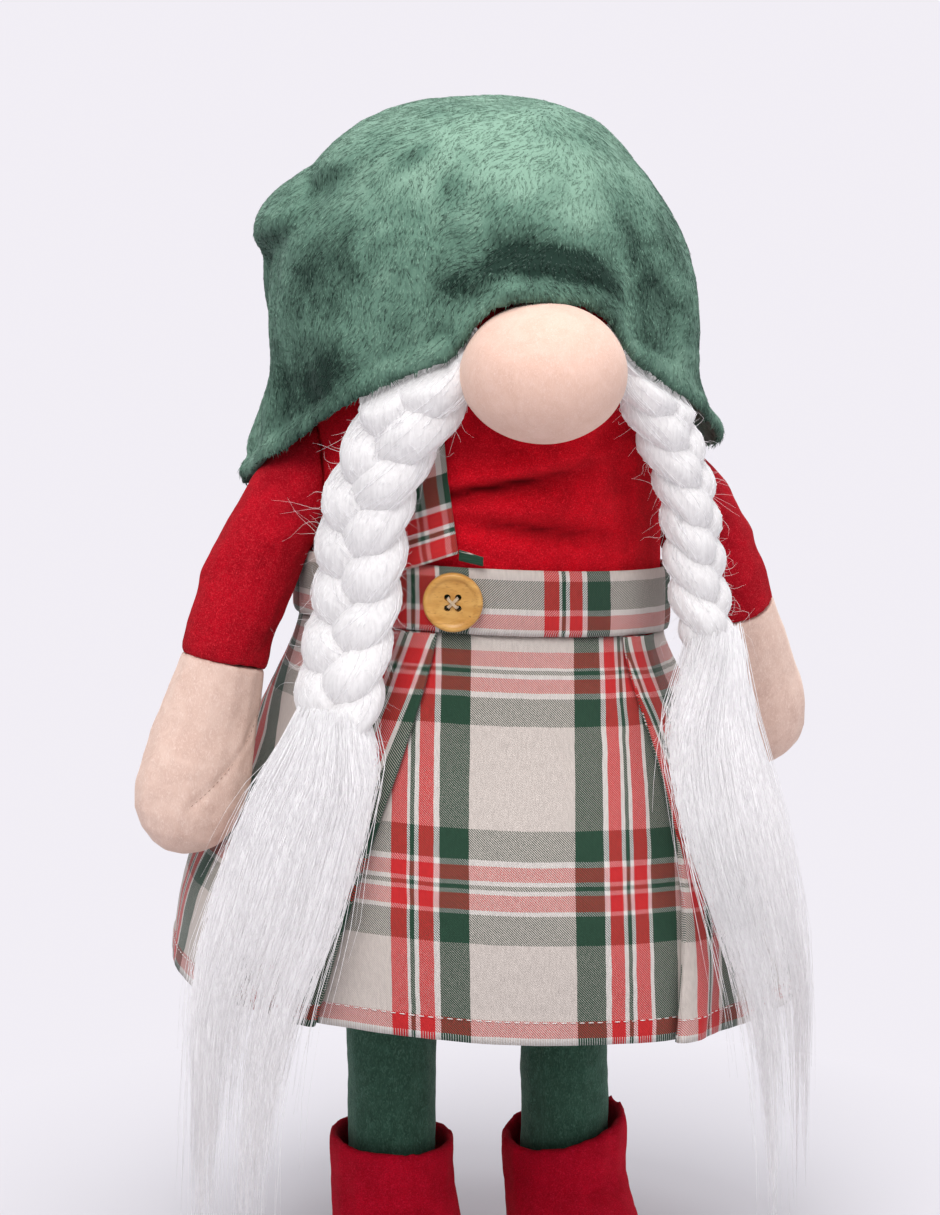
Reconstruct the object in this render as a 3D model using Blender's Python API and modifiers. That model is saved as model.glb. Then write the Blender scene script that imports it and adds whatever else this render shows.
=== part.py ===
"""Standing cloth gnome girl: long plush hat, ball nose, two plaits, felt arms and a tartan skirt.

Metres, +Z up. The figure looks along -Y, and stands on the soles of its boots at Z = 0.
Angles around the figure are measured from its front, -Y, and grow towards +X.
"""
import math

import bmesh
import bpy
from mathutils import Matrix, Vector

# Clearance between pieces that touch
TOUCH = 0.0003
# Points round the trunk, the hat and the waistband, which share them so that they fit
ROUND = 32

# Trunk and head, one stuffed felt bag
TRUNK_BOTTOM = 0.204
WAIST_HALF_WIDTH = 0.0755
TRUNK_DEPTH_RATIO = 0.88
SHOULDER_HEIGHT = 0.375
HEAD_NECK_HALF_WIDTH = 0.067
HEAD_NECK_HEIGHT = 0.425

# Hat, a plush cone whose tip is folded back and hangs behind
HAT_TOP = 0.514
HAT_WALL_TOP = 0.400
HAT_HALF_WIDTH = 0.090
HAT_DEPTH_RATIO = 0.95
HAT_SQUARENESS = 2.6
HAT_FLARE = 0.31
HAT_CLOTH = 0.0035
HEM_BACK_HEIGHT = 0.350
HEM_FRONT_RISE = 0.072
HEM_NOSE_RISE = 0.0275
HEM_NOSE_ANGLE = math.radians(2)
HEM_NOSE_REACH = math.radians(25)
TAIL_TIP_HEIGHT = 0.300

# Nose, a stuffed ball
NOSE_HALF_WIDTH = 0.035
NOSE_HALF_HEIGHT = 0.029
NOSE_HALF_DEPTH = 0.032
NOSE_HEIGHT = 0.4135
NOSE_SIDE = 0.004
NOSE_SINK = 0.005

# Waistband, a tartan strip sewn on top of the skirt
BAND_CLOTH = 0.003
BAND_WIDTH = 0.027
SEAM_BACK_HEIGHT = 0.292
SEAM_FRONT_RISE = 0.0125
SEAM_TILT = -0.082

# Skirt, a flared bell with four knife pleats
SKIRT_CLOTH = 0.0008
SKIRT_FLARE_SIDE = 0.062
SKIRT_FLARE_FRONT = 0.054
FLARE_DROP = 0.075
FLARE_POWER = 1.5
HEM_HEIGHT = 0.1455
HEM_RISE = 0.004
HEM_TILT = -0.082
PLEAT_LAYER_TOP = 0.0016
PLEAT_LAYER_HEM = 0.0027
PLEAT_UNDER_TOP = 0.013
PLEAT_UNDER_HEM = 0.010
DENT_DEPTH = 0.0155

# Strap, one bib strap from the waistband up under the hat
STRAP_CLOTH = 0.0014
STRAP_WIDTH = 0.0255
STRAP_TOP = 0.425

# Button with four holes, sewn on with a cross of thread
BUTTON_RADIUS = 0.012
BUTTON_THICKNESS = 0.004
BUTTON_RIM = 0.0024
BUTTON_DISH = 0.0009
BUTTON_HOLE_RADIUS = 0.0013
BUTTON_HOLE_SPREAD = 0.0031
BUTTON_ANGLE = math.radians(-20)
BUTTON_HEIGHT = 0.3195
THREAD_RADIUS = 0.0006

# Arms: felt sleeves and fleece mittens, sewn end to end
SLEEVE_HALF_WIDTH = 0.0188
HAND_HALF_WIDTH = 0.0235
HAND_HALF_DEPTH = 0.0160
ARM_BOW = 0.0060

# Plaits of faux hair: three strands each, a tie, and a loose tassel
PLAIT_PITCH = 0.057
STRAND_SWING = 0.50
STRAND_WEAVE = 0.42
TIE_RADIUS = 0.0016

# Legs, boots and soles
LEG_RADIUS = 0.0195
LEG_SPREAD = 0.0385
LEG_BACK = 0.006
LEG_TOP = 0.232
SOLE_THICKNESS = 0.004
INSOLE_HEIGHT = 0.013
BOOT_HEIGHT = 0.071
BOOT_HALF_WIDTH = 0.0275
BOOT_FELT = 0.0038
FOOT_LENGTH = 0.096
FOOT_HALF_WIDTH = 0.0290


def clear_scene():
    """Remove whatever the file holds."""
    for old in list(bpy.data.objects):
        bpy.data.objects.remove(old, do_unlink=True)


def new_collection(name):
    """A collection linked to the scene."""
    made = bpy.data.collections.new(name)
    bpy.context.scene.collection.children.link(made)
    return made


def finish(name, colour, roughness, metallic=0.0):
    """A plain material of one colour."""
    made = bpy.data.materials.new(name)
    made.use_nodes = True
    shader = made.node_tree.nodes["Principled BSDF"]
    shader.inputs["Base Color"].default_value = (*colour, 1.0)
    shader.inputs["Roughness"].default_value = roughness
    shader.inputs["Metallic"].default_value = metallic
    made.diffuse_color = (*colour, 1.0)
    return made


def place(name, form, material, sharp_angle=50):
    """Turn a bmesh into a named object of the figure, its faces pointing out."""
    mesh = bpy.data.meshes.new(name)
    bmesh.ops.recalc_face_normals(form, faces=form.faces)
    if form.calc_volume(signed=True) < 0:
        bmesh.ops.reverse_faces(form, faces=form.faces)
    form.to_mesh(mesh)
    form.free()
    mesh.shade_smooth()
    mesh.set_sharp_from_angle(angle=math.radians(sharp_angle))
    mesh.materials.append(material)
    made = bpy.data.objects.new(name, mesh)
    FIGURE.objects.link(made)
    return made


def bridge(form, loops, joined=False):
    """Faces between neighbouring closed loops of points, and back to the first if joined."""
    pairs = list(zip(loops, loops[1:]))
    if joined:
        pairs.append((loops[-1], loops[0]))
    for lower, upper in pairs:
        for near in range(len(lower)):
            far = (near + 1) % len(lower)
            form.faces.new((lower[near], lower[far], upper[far], upper[near]))


def loft(name, rings, material, sharp_angle=50):
    """A closed form through rings of points, capped at its two ends."""
    form = bmesh.new()
    loops = [[form.verts.new(point) for point in ring] for ring in rings]
    bridge(form, loops)
    form.faces.new(loops[0])
    form.faces.new(loops[-1])
    return place(name, form, material, sharp_angle)


def hoop(name, sections, material):
    """A closed ring of cloth from its cross-sections, one after another round the figure."""
    form = bmesh.new()
    loops = [[form.verts.new(point) for point in section] for section in sections]
    bridge(form, loops, joined=True)
    return place(name, form, material)


def along(stations, at):
    """Value at a place, on a smooth curve through stations of (place, value)."""
    places = [station[0] for station in stations]
    values = [station[1] for station in stations]
    at = min(max(at, places[0]), places[-1])
    last = len(stations) - 1
    step = 0
    while step < last - 1 and at > places[step + 1]:
        step += 1
    span = places[step + 1] - places[step]
    share = (at - places[step]) / span
    slopes = []
    for near in (step, step + 1):
        before = max(near - 1, 0)
        after = min(near + 1, last)
        slopes.append((values[after] - values[before]) / (places[after] - places[before]) * span)
    square = share * share
    cube = square * share
    first = values[step] * (2 * cube - 3 * square + 1) + slopes[0] * (cube - 2 * square + share)
    second = values[step + 1] * (3 * square - 2 * cube) + slopes[1] * (cube - square)
    return first + second


def mix(first, second, share):
    """A value between two others."""
    return first + (second - first) * share


def hump(at, centre, reach):
    """A smooth rise to 1 at the centre, which has died away two reaches off."""
    return math.exp(-((at - centre) / reach) ** 2)


def turn_gap(angle, other):
    """Signed difference of two angles, between -pi and pi."""
    return (angle - other + math.pi) % (2 * math.pi) - math.pi


def angles(count=ROUND):
    """Evenly spaced angles round the figure."""
    return [2 * math.pi * step / count for step in range(count)]


def at_angle(angle, half_width, half_depth, height):
    """A point of an ellipse round the figure's axis."""
    return Vector((half_width * math.sin(angle), -half_depth * math.cos(angle), height))


def make_guide(shape):
    """Keep a shape out of the figure, as a cutter or a guide."""
    for holder in list(shape.users_collection):
        holder.objects.unlink(shape)
    CUTTERS.objects.link(shape)
    shape.hide_render = True
    shape.display_type = 'WIRE'
    return shape


def grown_copy(source, distance):
    """A hidden cutter: the piece as built, with its faces moved out by a distance."""
    bpy.context.view_layer.update()
    seen = source.evaluated_get(bpy.context.evaluated_depsgraph_get())
    mesh = bpy.data.meshes.new_from_object(seen)
    mesh.transform(source.matrix_world)
    form = bmesh.new()
    form.from_mesh(mesh)
    form.normal_update()
    moved = [vertex.co + vertex.normal * distance * vertex.calc_shell_factor() for vertex in form.verts]
    for vertex, target in zip(form.verts, moved):
        vertex.co = target
    form.to_mesh(mesh)
    form.free()
    return make_guide(bpy.data.objects.new("cutter_" + source.name, mesh))


def join_or_cut(piece, other, operation):
    """A Boolean modifier between two pieces."""
    change = piece.modifiers.new("Boolean " + other.name, 'BOOLEAN')
    change.operation = operation
    change.object = other


def seat(piece, neighbour):
    """Hollow a soft piece where it presses on its neighbour, with the touching gap between."""
    join_or_cut(piece, grown_copy(neighbour, TOUCH), 'DIFFERENCE')


# Trunk

TRUNK_SIDES = [
    (TRUNK_BOTTOM, WAIST_HALF_WIDTH - 0.0415), (TRUNK_BOTTOM + 0.006, WAIST_HALF_WIDTH - 0.0215),
    (TRUNK_BOTTOM + 0.024, WAIST_HALF_WIDTH - 0.0075), (TRUNK_BOTTOM + 0.060, WAIST_HALF_WIDTH),
    (SHOULDER_HEIGHT - 0.025, WAIST_HALF_WIDTH), (SHOULDER_HEIGHT + 0.010, WAIST_HALF_WIDTH - 0.001),
    (HEAD_NECK_HEIGHT - 0.015, HEAD_NECK_HALF_WIDTH + 0.0028), (HEAD_NECK_HEIGHT, HEAD_NECK_HALF_WIDTH),
    (HEAD_NECK_HEIGHT + 0.025, HEAD_NECK_HALF_WIDTH + 0.004),
]
TRUNK_RINGS = [0.0, 0.006, 0.024, 0.060, 0.141, 0.170, 0.193, 0.221, 0.240]


def trunk_point(angle, height, off=0.0):
    """A point on the trunk's felt, or a distance off it."""
    half_width = along(TRUNK_SIDES, height)
    return at_angle(angle, half_width + off, half_width * TRUNK_DEPTH_RATIO + off, height)


# Hat surface

HAT_LOWER_REACH = 0.060
NOSE_BULGE_HEIGHT = mix(HAT_WALL_TOP, HAT_TOP, 0.395)
# Soft folds of the plush: angle and height of the middle, reach each way, lean, depth
HAT_FOLDS = [
    (math.radians(-78), HAT_TOP - 0.036, math.radians(26), 0.0065, 0.012, -0.0045),
    (math.radians(-60), HAT_TOP - 0.022, math.radians(24), 0.0070, 0.010, 0.0030),
    (math.radians(30), 0.440, math.radians(9), 0.0300, -0.020, -0.0030),
    (math.radians(56), 0.425, math.radians(10), 0.0340, -0.016, 0.0032),
    (math.radians(-20), 0.446, math.radians(12), 0.0180, 0.014, -0.0034),
    (math.radians(-52), 0.405, math.radians(11), 0.0220, 0.010, 0.0024),
    (math.radians(-98), 0.400, math.radians(10), 0.0300, 0.0, -0.0028),
]


def hem_height(angle):
    """Height of the hat's hem: low behind, rising to the nose, which pushes it up."""
    rise = HEM_FRONT_RISE * ((1 + math.cos(angle)) / 2) ** 2.2
    nose = HEM_NOSE_RISE * math.exp(-(turn_gap(angle, HEM_NOSE_ANGLE) / HEM_NOSE_REACH) ** 6)
    return HEM_BACK_HEIGHT + rise + nose - 0.006 * math.sin(-angle) * (1 - math.cos(angle)) / 2


def hat_run(height):
    """Place on the hat's profile for a height: below 0 on its flared wall, 1 at its top."""
    if height < HAT_WALL_TOP:
        return (height - HAT_WALL_TOP) / HAT_LOWER_REACH
    share = min((height - HAT_WALL_TOP) / (HAT_TOP - HAT_WALL_TOP), 1.0)
    return math.asin(share ** (HAT_SQUARENESS / 2)) / (math.pi / 2)


def hat_point(angle, run, off=0.0):
    """A point on the hat's outside, at a place on its profile, or a distance off it."""
    if run < 0:
        half_width = HAT_HALF_WIDTH - HAT_FLARE * run * HAT_LOWER_REACH
        height = HAT_WALL_TOP + run * HAT_LOWER_REACH
    else:
        slope = run * math.pi / 2
        half_width = HAT_HALF_WIDTH * max(math.cos(slope), 0.0) ** (2 / HAT_SQUARENESS)
        height = HAT_WALL_TOP + (HAT_TOP - HAT_WALL_TOP) * math.sin(slope) ** (2 / HAT_SQUARENESS)
    out = 0.007 * hump(turn_gap(angle, HEM_NOSE_ANGLE), 0.0, HEM_NOSE_REACH) * hump(height, NOSE_BULGE_HEIGHT, 0.030)
    for middle, centre, reach, tall, lean, depth in HAT_FOLDS:
        sideways = turn_gap(angle, middle)
        out += depth * hump(sideways, 0.0, reach) * hump(height, centre + lean * sideways, tall)
    fade = min(half_width / 0.04, 1.0)
    grown = half_width + (out * fade + off) * math.cos(max(run, 0.0) * math.pi / 2) ** 0.5
    point = at_angle(angle, grown, grown * HAT_DEPTH_RATIO, height)
    point.z += off * math.sin(max(run, 0.0) * math.pi / 2)
    return point


HAT_ROWS = [0.0, 0.012, 0.045, 0.062, 0.09, 0.18, 0.30, 0.42, 0.54, 0.67, 0.80, 0.90, 0.97]
HAT_HEM_PROUD = [0.0, 0.0012, 0.0012, -0.0012, 0.0]
HEAD_FROM_ROW = 9


def hat_row(angle, row):
    """Place on the profile of a row of the hat, from its hem to near its top."""
    hem = hat_run(hem_height(angle))
    return mix(hem, 1.0, HAT_ROWS[row])


def build_trunk():
    """Trunk and head in one: the head fills the top of the hat."""
    rings = [[trunk_point(angle, TRUNK_BOTTOM + rise) for angle in angles()] for rise in TRUNK_RINGS]
    inside = HAT_CLOTH + TOUCH + 0.0009
    for row in range(HEAD_FROM_ROW, len(HAT_ROWS)):
        rings.append([hat_point(angle, hat_row(angle, row), -inside) for angle in angles()])
    return loft("stuffed_body", rings, finish("red felt, trunk", (0.52, 0.012, 0.02), 0.95))


def build_hat(trunk):
    """Hat: one plush shell, its folded-back tip joined on behind, fitted on the head."""
    plush = finish("green plush", (0.09, 0.24, 0.16), 0.95)
    form = bmesh.new()
    loops = []
    for row in range(len(HAT_ROWS)):
        proud = HAT_HEM_PROUD[row] if row < len(HAT_HEM_PROUD) else 0.0
        points = [hat_point(angle, hat_row(angle, row), proud) for angle in angles()]
        loops.append([form.verts.new(point) for point in points])
    bridge(form, loops)
    form.faces.new(loops[-1])
    hat = place("hat", form, plush)
    wall = hat.modifiers.new("Cloth", 'SOLIDIFY')
    wall.thickness = HAT_CLOTH
    wall.offset = -1.0
    tail = build_tail(plush)
    join_or_cut(hat, tail, 'UNION')
    seat(hat, trunk)
    return hat


def build_tail(plush):
    """The folded-back tip of the cone, lying against the hat's back, as a guide that is joined on."""
    # Share of the way from the tip up to the hat's top, reach towards -X, reach towards +X, thickness
    stations = [
        (0.0, Vector((7, 7, 0.009))), (0.117, Vector((17, 16, 0.015))),
        (0.257, Vector((31, 29, 0.019))), (0.444, Vector((48, 42, 0.022))),
        (0.631, Vector((64, 54, 0.021))), (0.757, Vector((72, 60, 0.018))),
        (0.832, Vector((70, 60, 0.011))), (0.869, Vector((60, 52, 0.004))),
    ]
    lowest_on_hat = HAT_WALL_TOP - 0.038
    across = 9
    rings = []
    for rise, (minus_reach, plus_reach, thick) in stations:
        height = mix(TAIL_TIP_HEIGHT, HAT_TOP, rise)
        profile = hat_run(max(height, lowest_on_hat))
        near = []
        far = []
        for step in range(across):
            share = -1 + 2 * step / (across - 1)
            reach = minus_reach if share < 0 else plus_reach
            angle = math.pi - math.radians(reach) * share
            swell = (1 - abs(share) ** 3) ** 0.5
            for row, off in ((near, -HAT_CLOTH - 0.001), (far, 0.0012 + thick * swell)):
                point = hat_point(angle, profile, off)
                point.z = height
                row.append(point)
        rings.append(near + far[::-1])
    return make_guide(loft("guide_hat_tail", rings, plush))


def build_nose(trunk):
    """Nose: a stuffed ball pressed on the front of the head."""
    front = trunk_point(0.0, NOSE_HEIGHT).y
    bpy.ops.mesh.primitive_uv_sphere_add(segments=20, ring_count=12, radius=1.0)
    nose = bpy.context.object
    nose.name = "nose"
    middle = Vector((NOSE_SIDE, front - NOSE_HALF_DEPTH + NOSE_SINK, NOSE_HEIGHT))
    size = Matrix.Diagonal((NOSE_HALF_WIDTH, NOSE_HALF_DEPTH, NOSE_HALF_HEIGHT, 1.0))
    nose.data.transform(Matrix.Translation(middle) @ size)
    nose.data.shade_smooth()
    nose.data.materials.append(finish("peach fleece, nose", (0.85, 0.62, 0.52), 0.95))
    for holder in list(nose.users_collection):
        holder.objects.unlink(nose)
    FIGURE.objects.link(nose)
    seat(nose, trunk)
    return nose


# Waistband, strap and skirt

def seam_height(angle):
    """Height of the seam between the waistband and the skirt."""
    rise = SEAM_FRONT_RISE * (1 + math.cos(angle)) / 2
    return SEAM_BACK_HEIGHT + rise + SEAM_TILT * WAIST_HALF_WIDTH * math.sin(angle)


def build_waistband():
    """Waistband: a folded tartan strip round the trunk."""
    round_off = BAND_CLOTH * 0.3
    sections = []
    for angle in angles():
        low = seam_height(angle)
        high = low + BAND_WIDTH
        inner = TOUCH
        outer = TOUCH + BAND_CLOTH
        outline = [
            (inner, low), (outer - round_off, low), (outer, low + round_off),
            (outer, high - round_off), (outer - round_off, high), (inner, high),
        ]
        sections.append([trunk_point(angle, height, off) for off, height in outline])
    return hoop("waistband", sections, finish("tartan, waistband", (0.55, 0.30, 0.26), 0.85))


def waist_room():
    """A cutter as wide as the waistband and as deep as the trunk, for what presses on the band."""
    off = TOUCH + BAND_CLOTH + 1.5 * TOUCH
    rings = []
    for rise in (-TOUCH, BAND_WIDTH + TOUCH):
        rings.append([trunk_point(angle, seam_height(angle) + rise, off) for angle in angles()])
    room = loft("cutter_waist_room", rings, finish("guide", (0.5, 0.5, 0.5), 0.9))
    return make_guide(room)


def strap_middle(height):
    """Angle of the strap's middle at a height."""
    low = seam_height(math.radians(-27)) + BAND_WIDTH
    share = (height - low) / (STRAP_TOP - low)
    return math.radians(mix(-27, -36, min(max(share, 0.0), 1.0) ** 0.7))


def build_strap():
    """Strap: laid on the waistband below, then on the trunk, and sewn on under the hat."""
    rows = 9
    across = 5
    band_top = seam_height(math.radians(-27)) + BAND_WIDTH
    on_band = TOUCH + BAND_CLOTH + TOUCH
    form = bmesh.new()
    grid = []
    for row in range(rows):
        line = []
        for column in range(across):
            side = -1 + 2 * column / (across - 1)
            bottom = band_top + 0.0015 + 0.004 * side
            height = mix(bottom, STRAP_TOP, row / (rows - 1))
            step = min(max((height - band_top - 0.004) / 0.012, 0.0), 1.0)
            off = mix(on_band, TOUCH + 0.0004, step * step * (3 - 2 * step)) + STRAP_CLOTH / 2
            half_angle = STRAP_WIDTH / 2 / WAIST_HALF_WIDTH
            angle = strap_middle(height) + side * half_angle
            line.append(form.verts.new(trunk_point(angle, height, off)))
        grid.append(line)
    for lower, upper in zip(grid, grid[1:]):
        for near in range(across - 1):
            form.faces.new((lower[near], lower[near + 1], upper[near + 1], upper[near]))
    strap = place("shoulder_strap", form, finish("tartan, strap", (0.50, 0.28, 0.24), 0.85))
    wall = strap.modifiers.new("Cloth", 'SOLIDIFY')
    wall.thickness = STRAP_CLOTH
    wall.offset = 0.0
    return strap


def skirt_hem(angle):
    """Height of the skirt's hem, which hangs lower towards +X."""
    half_width = WAIST_HALF_WIDTH + SKIRT_FLARE_SIDE
    return HEM_HEIGHT + HEM_RISE * math.cos(angle) + HEM_TILT * half_width * math.sin(angle)


def skirt_point(angle, share, level=0.0):
    """A point of the skirt's cloth, a share of the way down, on a layer of a pleat."""
    top = seam_height(angle) - TOUCH - 0.0002
    height = mix(top, skirt_hem(angle), share)
    flare = 1 - math.exp(-((top - height) / FLARE_DROP) ** FLARE_POWER)
    side = WAIST_HALF_WIDTH + TOUCH + SKIRT_CLOTH + SKIRT_FLARE_SIDE * flare
    front = WAIST_HALF_WIDTH * TRUNK_DEPTH_RATIO + TOUCH + SKIRT_CLOTH + SKIRT_FLARE_FRONT * flare
    wave = 0.0030 * share ** 2 * math.sin(5 * angle + 0.6) * (1 - hump(angle, 0.0, 0.7))
    dent = DENT_DEPTH * hump(turn_gap(angle, math.radians(-80)), 0.0, math.radians(24)) * hump(height, 0.240, 0.032)
    layer = mix(PLEAT_LAYER_TOP, PLEAT_LAYER_HEM, share) * level
    off = layer + wave - dent
    return at_angle(angle, side + off, front + off, height)


# Pleats: visible edge at the waist and at the hem in degrees, and the side its cloth comes from
PLEATS = [(-146, -138, 1), (-26, -41, -1), (37, 23, 1), (139, 147, -1)]
SKIRT_ROWS = [0.0, 0.09, 0.24, 0.43, 0.68, 1.0]
# Columns of cloth between one pleat and the next
SKIRT_SPANS = [9, 6, 9, 5]


def pleat_columns(edge_top, edge_hem, side, share):
    """Angles and layers of one knife pleat at a share of the way down, in the order of the cloth."""
    edge = math.radians(mix(edge_top, edge_hem, share))
    radius = mix(WAIST_HALF_WIDTH, WAIST_HALF_WIDTH + SKIRT_FLARE_SIDE, share)
    under = mix(PLEAT_UNDER_TOP, PLEAT_UNDER_HEM, share) / radius
    bow = mix(PLEAT_LAYER_TOP, PLEAT_LAYER_HEM, share) * 0.45 / radius
    columns = [
        (edge, 0.0), (edge + side * under, 0.0), (edge + side * (under + bow), 0.5),
        (edge + side * under, 1.0), (edge, 1.0), (edge - side * bow, 1.5),
        (edge, 2.0), (edge + side * under, 1.9), (edge + side * 2.2 * under, 0.3),
    ]
    return columns if side > 0 else columns[::-1]


def skirt_columns(share):
    """The cloth's whole way round at a share of the way down, as (angle, layer) pairs."""
    folds = [pleat_columns(*pleat, share) for pleat in PLEATS]
    columns = []
    for step, fold in enumerate(folds):
        columns.extend(fold)
        following = folds[(step + 1) % len(folds)][0]
        start = fold[-1][0]
        end = following[0] if following[0] > start else following[0] + 2 * math.pi
        count = SKIRT_SPANS[step]
        for part in range(1, count + 1):
            columns.append((mix(start, end, part / (count + 1)), 0.0))
    return columns


def build_skirt():
    """Skirt: one sheet of tartan, pleated into the waistband and open below."""
    form = bmesh.new()
    loops = []
    for share in SKIRT_ROWS:
        points = [skirt_point(angle, share, level) for angle, level in skirt_columns(share)]
        loops.append([form.verts.new(point) for point in points])
    bridge(form, loops)
    skirt = place("skirt", form, finish("tartan, skirt", (0.55, 0.35, 0.30), 0.85))
    wall = skirt.modifiers.new("Cloth", 'SOLIDIFY')
    wall.thickness = SKIRT_CLOTH
    wall.offset = 0.0
    return skirt


# How far the clothes reach, which the hair lies on

def dress_reach(angle, height):
    """How far from the axis the clothes reach at an angle and a height."""
    seam = seam_height(angle)
    off = STRAP_CLOTH + 4 * TOUCH
    if height < seam + BAND_WIDTH:
        off += BAND_CLOTH + TOUCH
    reach = trunk_point(angle, max(height, seam), off).xy.length
    if height < seam:
        share = min((seam - height) / (seam - skirt_hem(angle)), 1.0)
        top_layer = 2.0
        reach = max(reach, skirt_point(angle, share, top_layer).xy.length + SKIRT_CLOTH + TOUCH)
    return reach


def hair_floor(point):
    """Least distance from the axis that hair may have where a point lies."""
    angle = math.atan2(point.x, -point.y / TRUNK_DEPTH_RATIO)
    near = 0.005
    return max(dress_reach(angle, point.z + step * near) for step in (-1, 0, 1)) + TOUCH


def clear_of_dress(point):
    """The point, moved out from the axis if it would lie in the clothes."""
    reach = point.xy.length
    floor = hair_floor(point)
    if reach >= floor:
        return point
    return Vector((point.x * floor / reach, point.y * floor / reach, point.z))


# Button

def button_frame():
    """Place and turn of the button: its back lies on the waistband."""
    spot = trunk_point(BUTTON_ANGLE, BUTTON_HEIGHT, TOUCH + BAND_CLOTH + TOUCH)
    width = WAIST_HALF_WIDTH + BAND_CLOTH
    depth = WAIST_HALF_WIDTH * TRUNK_DEPTH_RATIO + BAND_CLOTH
    out = Vector((spot.x / width ** 2, spot.y / depth ** 2, 0.0)).normalized()
    turn = out.to_track_quat('Z', 'Y').to_matrix().to_4x4()
    return Matrix.Translation(spot) @ turn


def turned(name, profile, material, steps):
    """A turned solid from a closed profile of (radius, height) points round its own Z axis."""
    form = bmesh.new()
    loops = []
    for step in range(steps):
        angle = 2 * math.pi * step / steps
        ring = [(radius * math.cos(angle), radius * math.sin(angle), height) for radius, height in profile]
        loops.append([form.verts.new(point) for point in ring])
    for near, far in zip(loops, loops[1:] + loops[:1]):
        for row in range(len(profile) - 1):
            form.faces.new((near[row], far[row], far[row + 1], near[row + 1]))
    form.faces.new([loop[0] for loop in loops])
    form.faces.new([loop[-1] for loop in loops])
    return place(name, form, material, 35)


def build_button():
    """Button: a turned wooden disc with a raised rim and four holes."""
    dish = BUTTON_THICKNESS - BUTTON_DISH
    profile = [
        (BUTTON_RADIUS - 0.0012, 0.0), (BUTTON_RADIUS, 0.0012), (BUTTON_RADIUS, BUTTON_THICKNESS - 0.0010),
        (BUTTON_RADIUS - 0.0007, BUTTON_THICKNESS), (BUTTON_RADIUS - BUTTON_RIM, BUTTON_THICKNESS),
        (BUTTON_RADIUS - BUTTON_RIM - 0.0008, dish),
    ]
    button = turned("button", profile, finish("pale wood", (0.62, 0.38, 0.13), 0.45), 20)
    for quarter in range(4):
        angle = math.radians(45 + 90 * quarter)
        bpy.ops.mesh.primitive_cylinder_add(vertices=8, radius=BUTTON_HOLE_RADIUS, depth=4 * BUTTON_THICKNESS)
        drill = bpy.context.object
        drill.name = f"cutter_button_hole_{quarter + 1}"
        spot = Vector((BUTTON_HOLE_SPREAD * math.cos(angle), BUTTON_HOLE_SPREAD * math.sin(angle), 0.0))
        drill.data.transform(button_frame() @ Matrix.Translation(spot))
        join_or_cut(button, make_guide(drill), 'DIFFERENCE')
    button.data.transform(button_frame())
    return button


def build_thread():
    """Thread: two stitches crossing on the button's face, with their ends down its holes."""
    top = BUTTON_THICKNESS - BUTTON_DISH + TOUCH + THREAD_RADIUS
    parts = []
    for diagonal in range(2):
        angle = math.radians(45 + 90 * diagonal)
        run = Vector((math.cos(angle), math.sin(angle), 0.0))
        rise = THREAD_RADIUS * 0.6 * diagonal
        route = [(-BUTTON_HOLE_SPREAD, 0.0010), (-BUTTON_HOLE_SPREAD, top), (-0.0018, top + rise),
                 (0.0018, top + rise), (BUTTON_HOLE_SPREAD, top), (BUTTON_HOLE_SPREAD, 0.0010)]
        rings = []
        up = Vector((0, 0, 1))
        side = run.cross(up)
        for step, (reach, height) in enumerate(route):
            before = Vector(route[max(step - 1, 0)])
            after = Vector(route[min(step + 1, len(route) - 1)])
            way = (after - before).normalized()
            across = (up * way.x - run * way.y).normalized()
            middle = run * reach + up * height
            turns = [math.radians(60 * corner) for corner in range(6)]
            rings.append([middle + (side * math.cos(t) + across * math.sin(t)) * THREAD_RADIUS for t in turns])
        parts.append(loft("thread_stitch", rings, finish("thread", (0.72, 0.60, 0.45), 0.9)))
    thread, second = parts
    thread.name = "button_thread"
    second.name = "guide_second_stitch"
    join_or_cut(thread, make_guide(second), 'UNION')
    for piece in parts:
        piece.data.transform(button_frame())
    return thread


# Arms

# Name, shoulder, wrist and finger tip of each arm; the one towards +X hangs further back
ARMS = [
    ("minus_x", Vector((0.012 - WAIST_HALF_WIDTH, -0.005, SHOULDER_HEIGHT + 0.008)),
     Vector((-0.0365 - WAIST_HALF_WIDTH, -0.014, 0.2885)), Vector((-0.059 - WAIST_HALF_WIDTH, -0.023, 0.2110))),
    ("plus_x", Vector((WAIST_HALF_WIDTH - 0.0135, 0.005, SHOULDER_HEIGHT + 0.006)),
     Vector((WAIST_HALF_WIDTH + 0.042, 0.020, 0.2920)), Vector((WAIST_HALF_WIDTH + 0.0615, 0.034, 0.2200))),
]


def limb_ring(middle, way, half_width, half_depth, count=14):
    """A ring across a limb, wide sideways and deep from front to back."""
    way = way.normalized()
    front = Vector((0, -1, 0))
    front = (front - way * front.dot(way)).normalized()
    across = front.cross(way)
    turns = [2 * math.pi * step / count for step in range(count)]
    return [middle + across * half_width * math.cos(t) + front * half_depth * math.sin(t) for t in turns]


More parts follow.
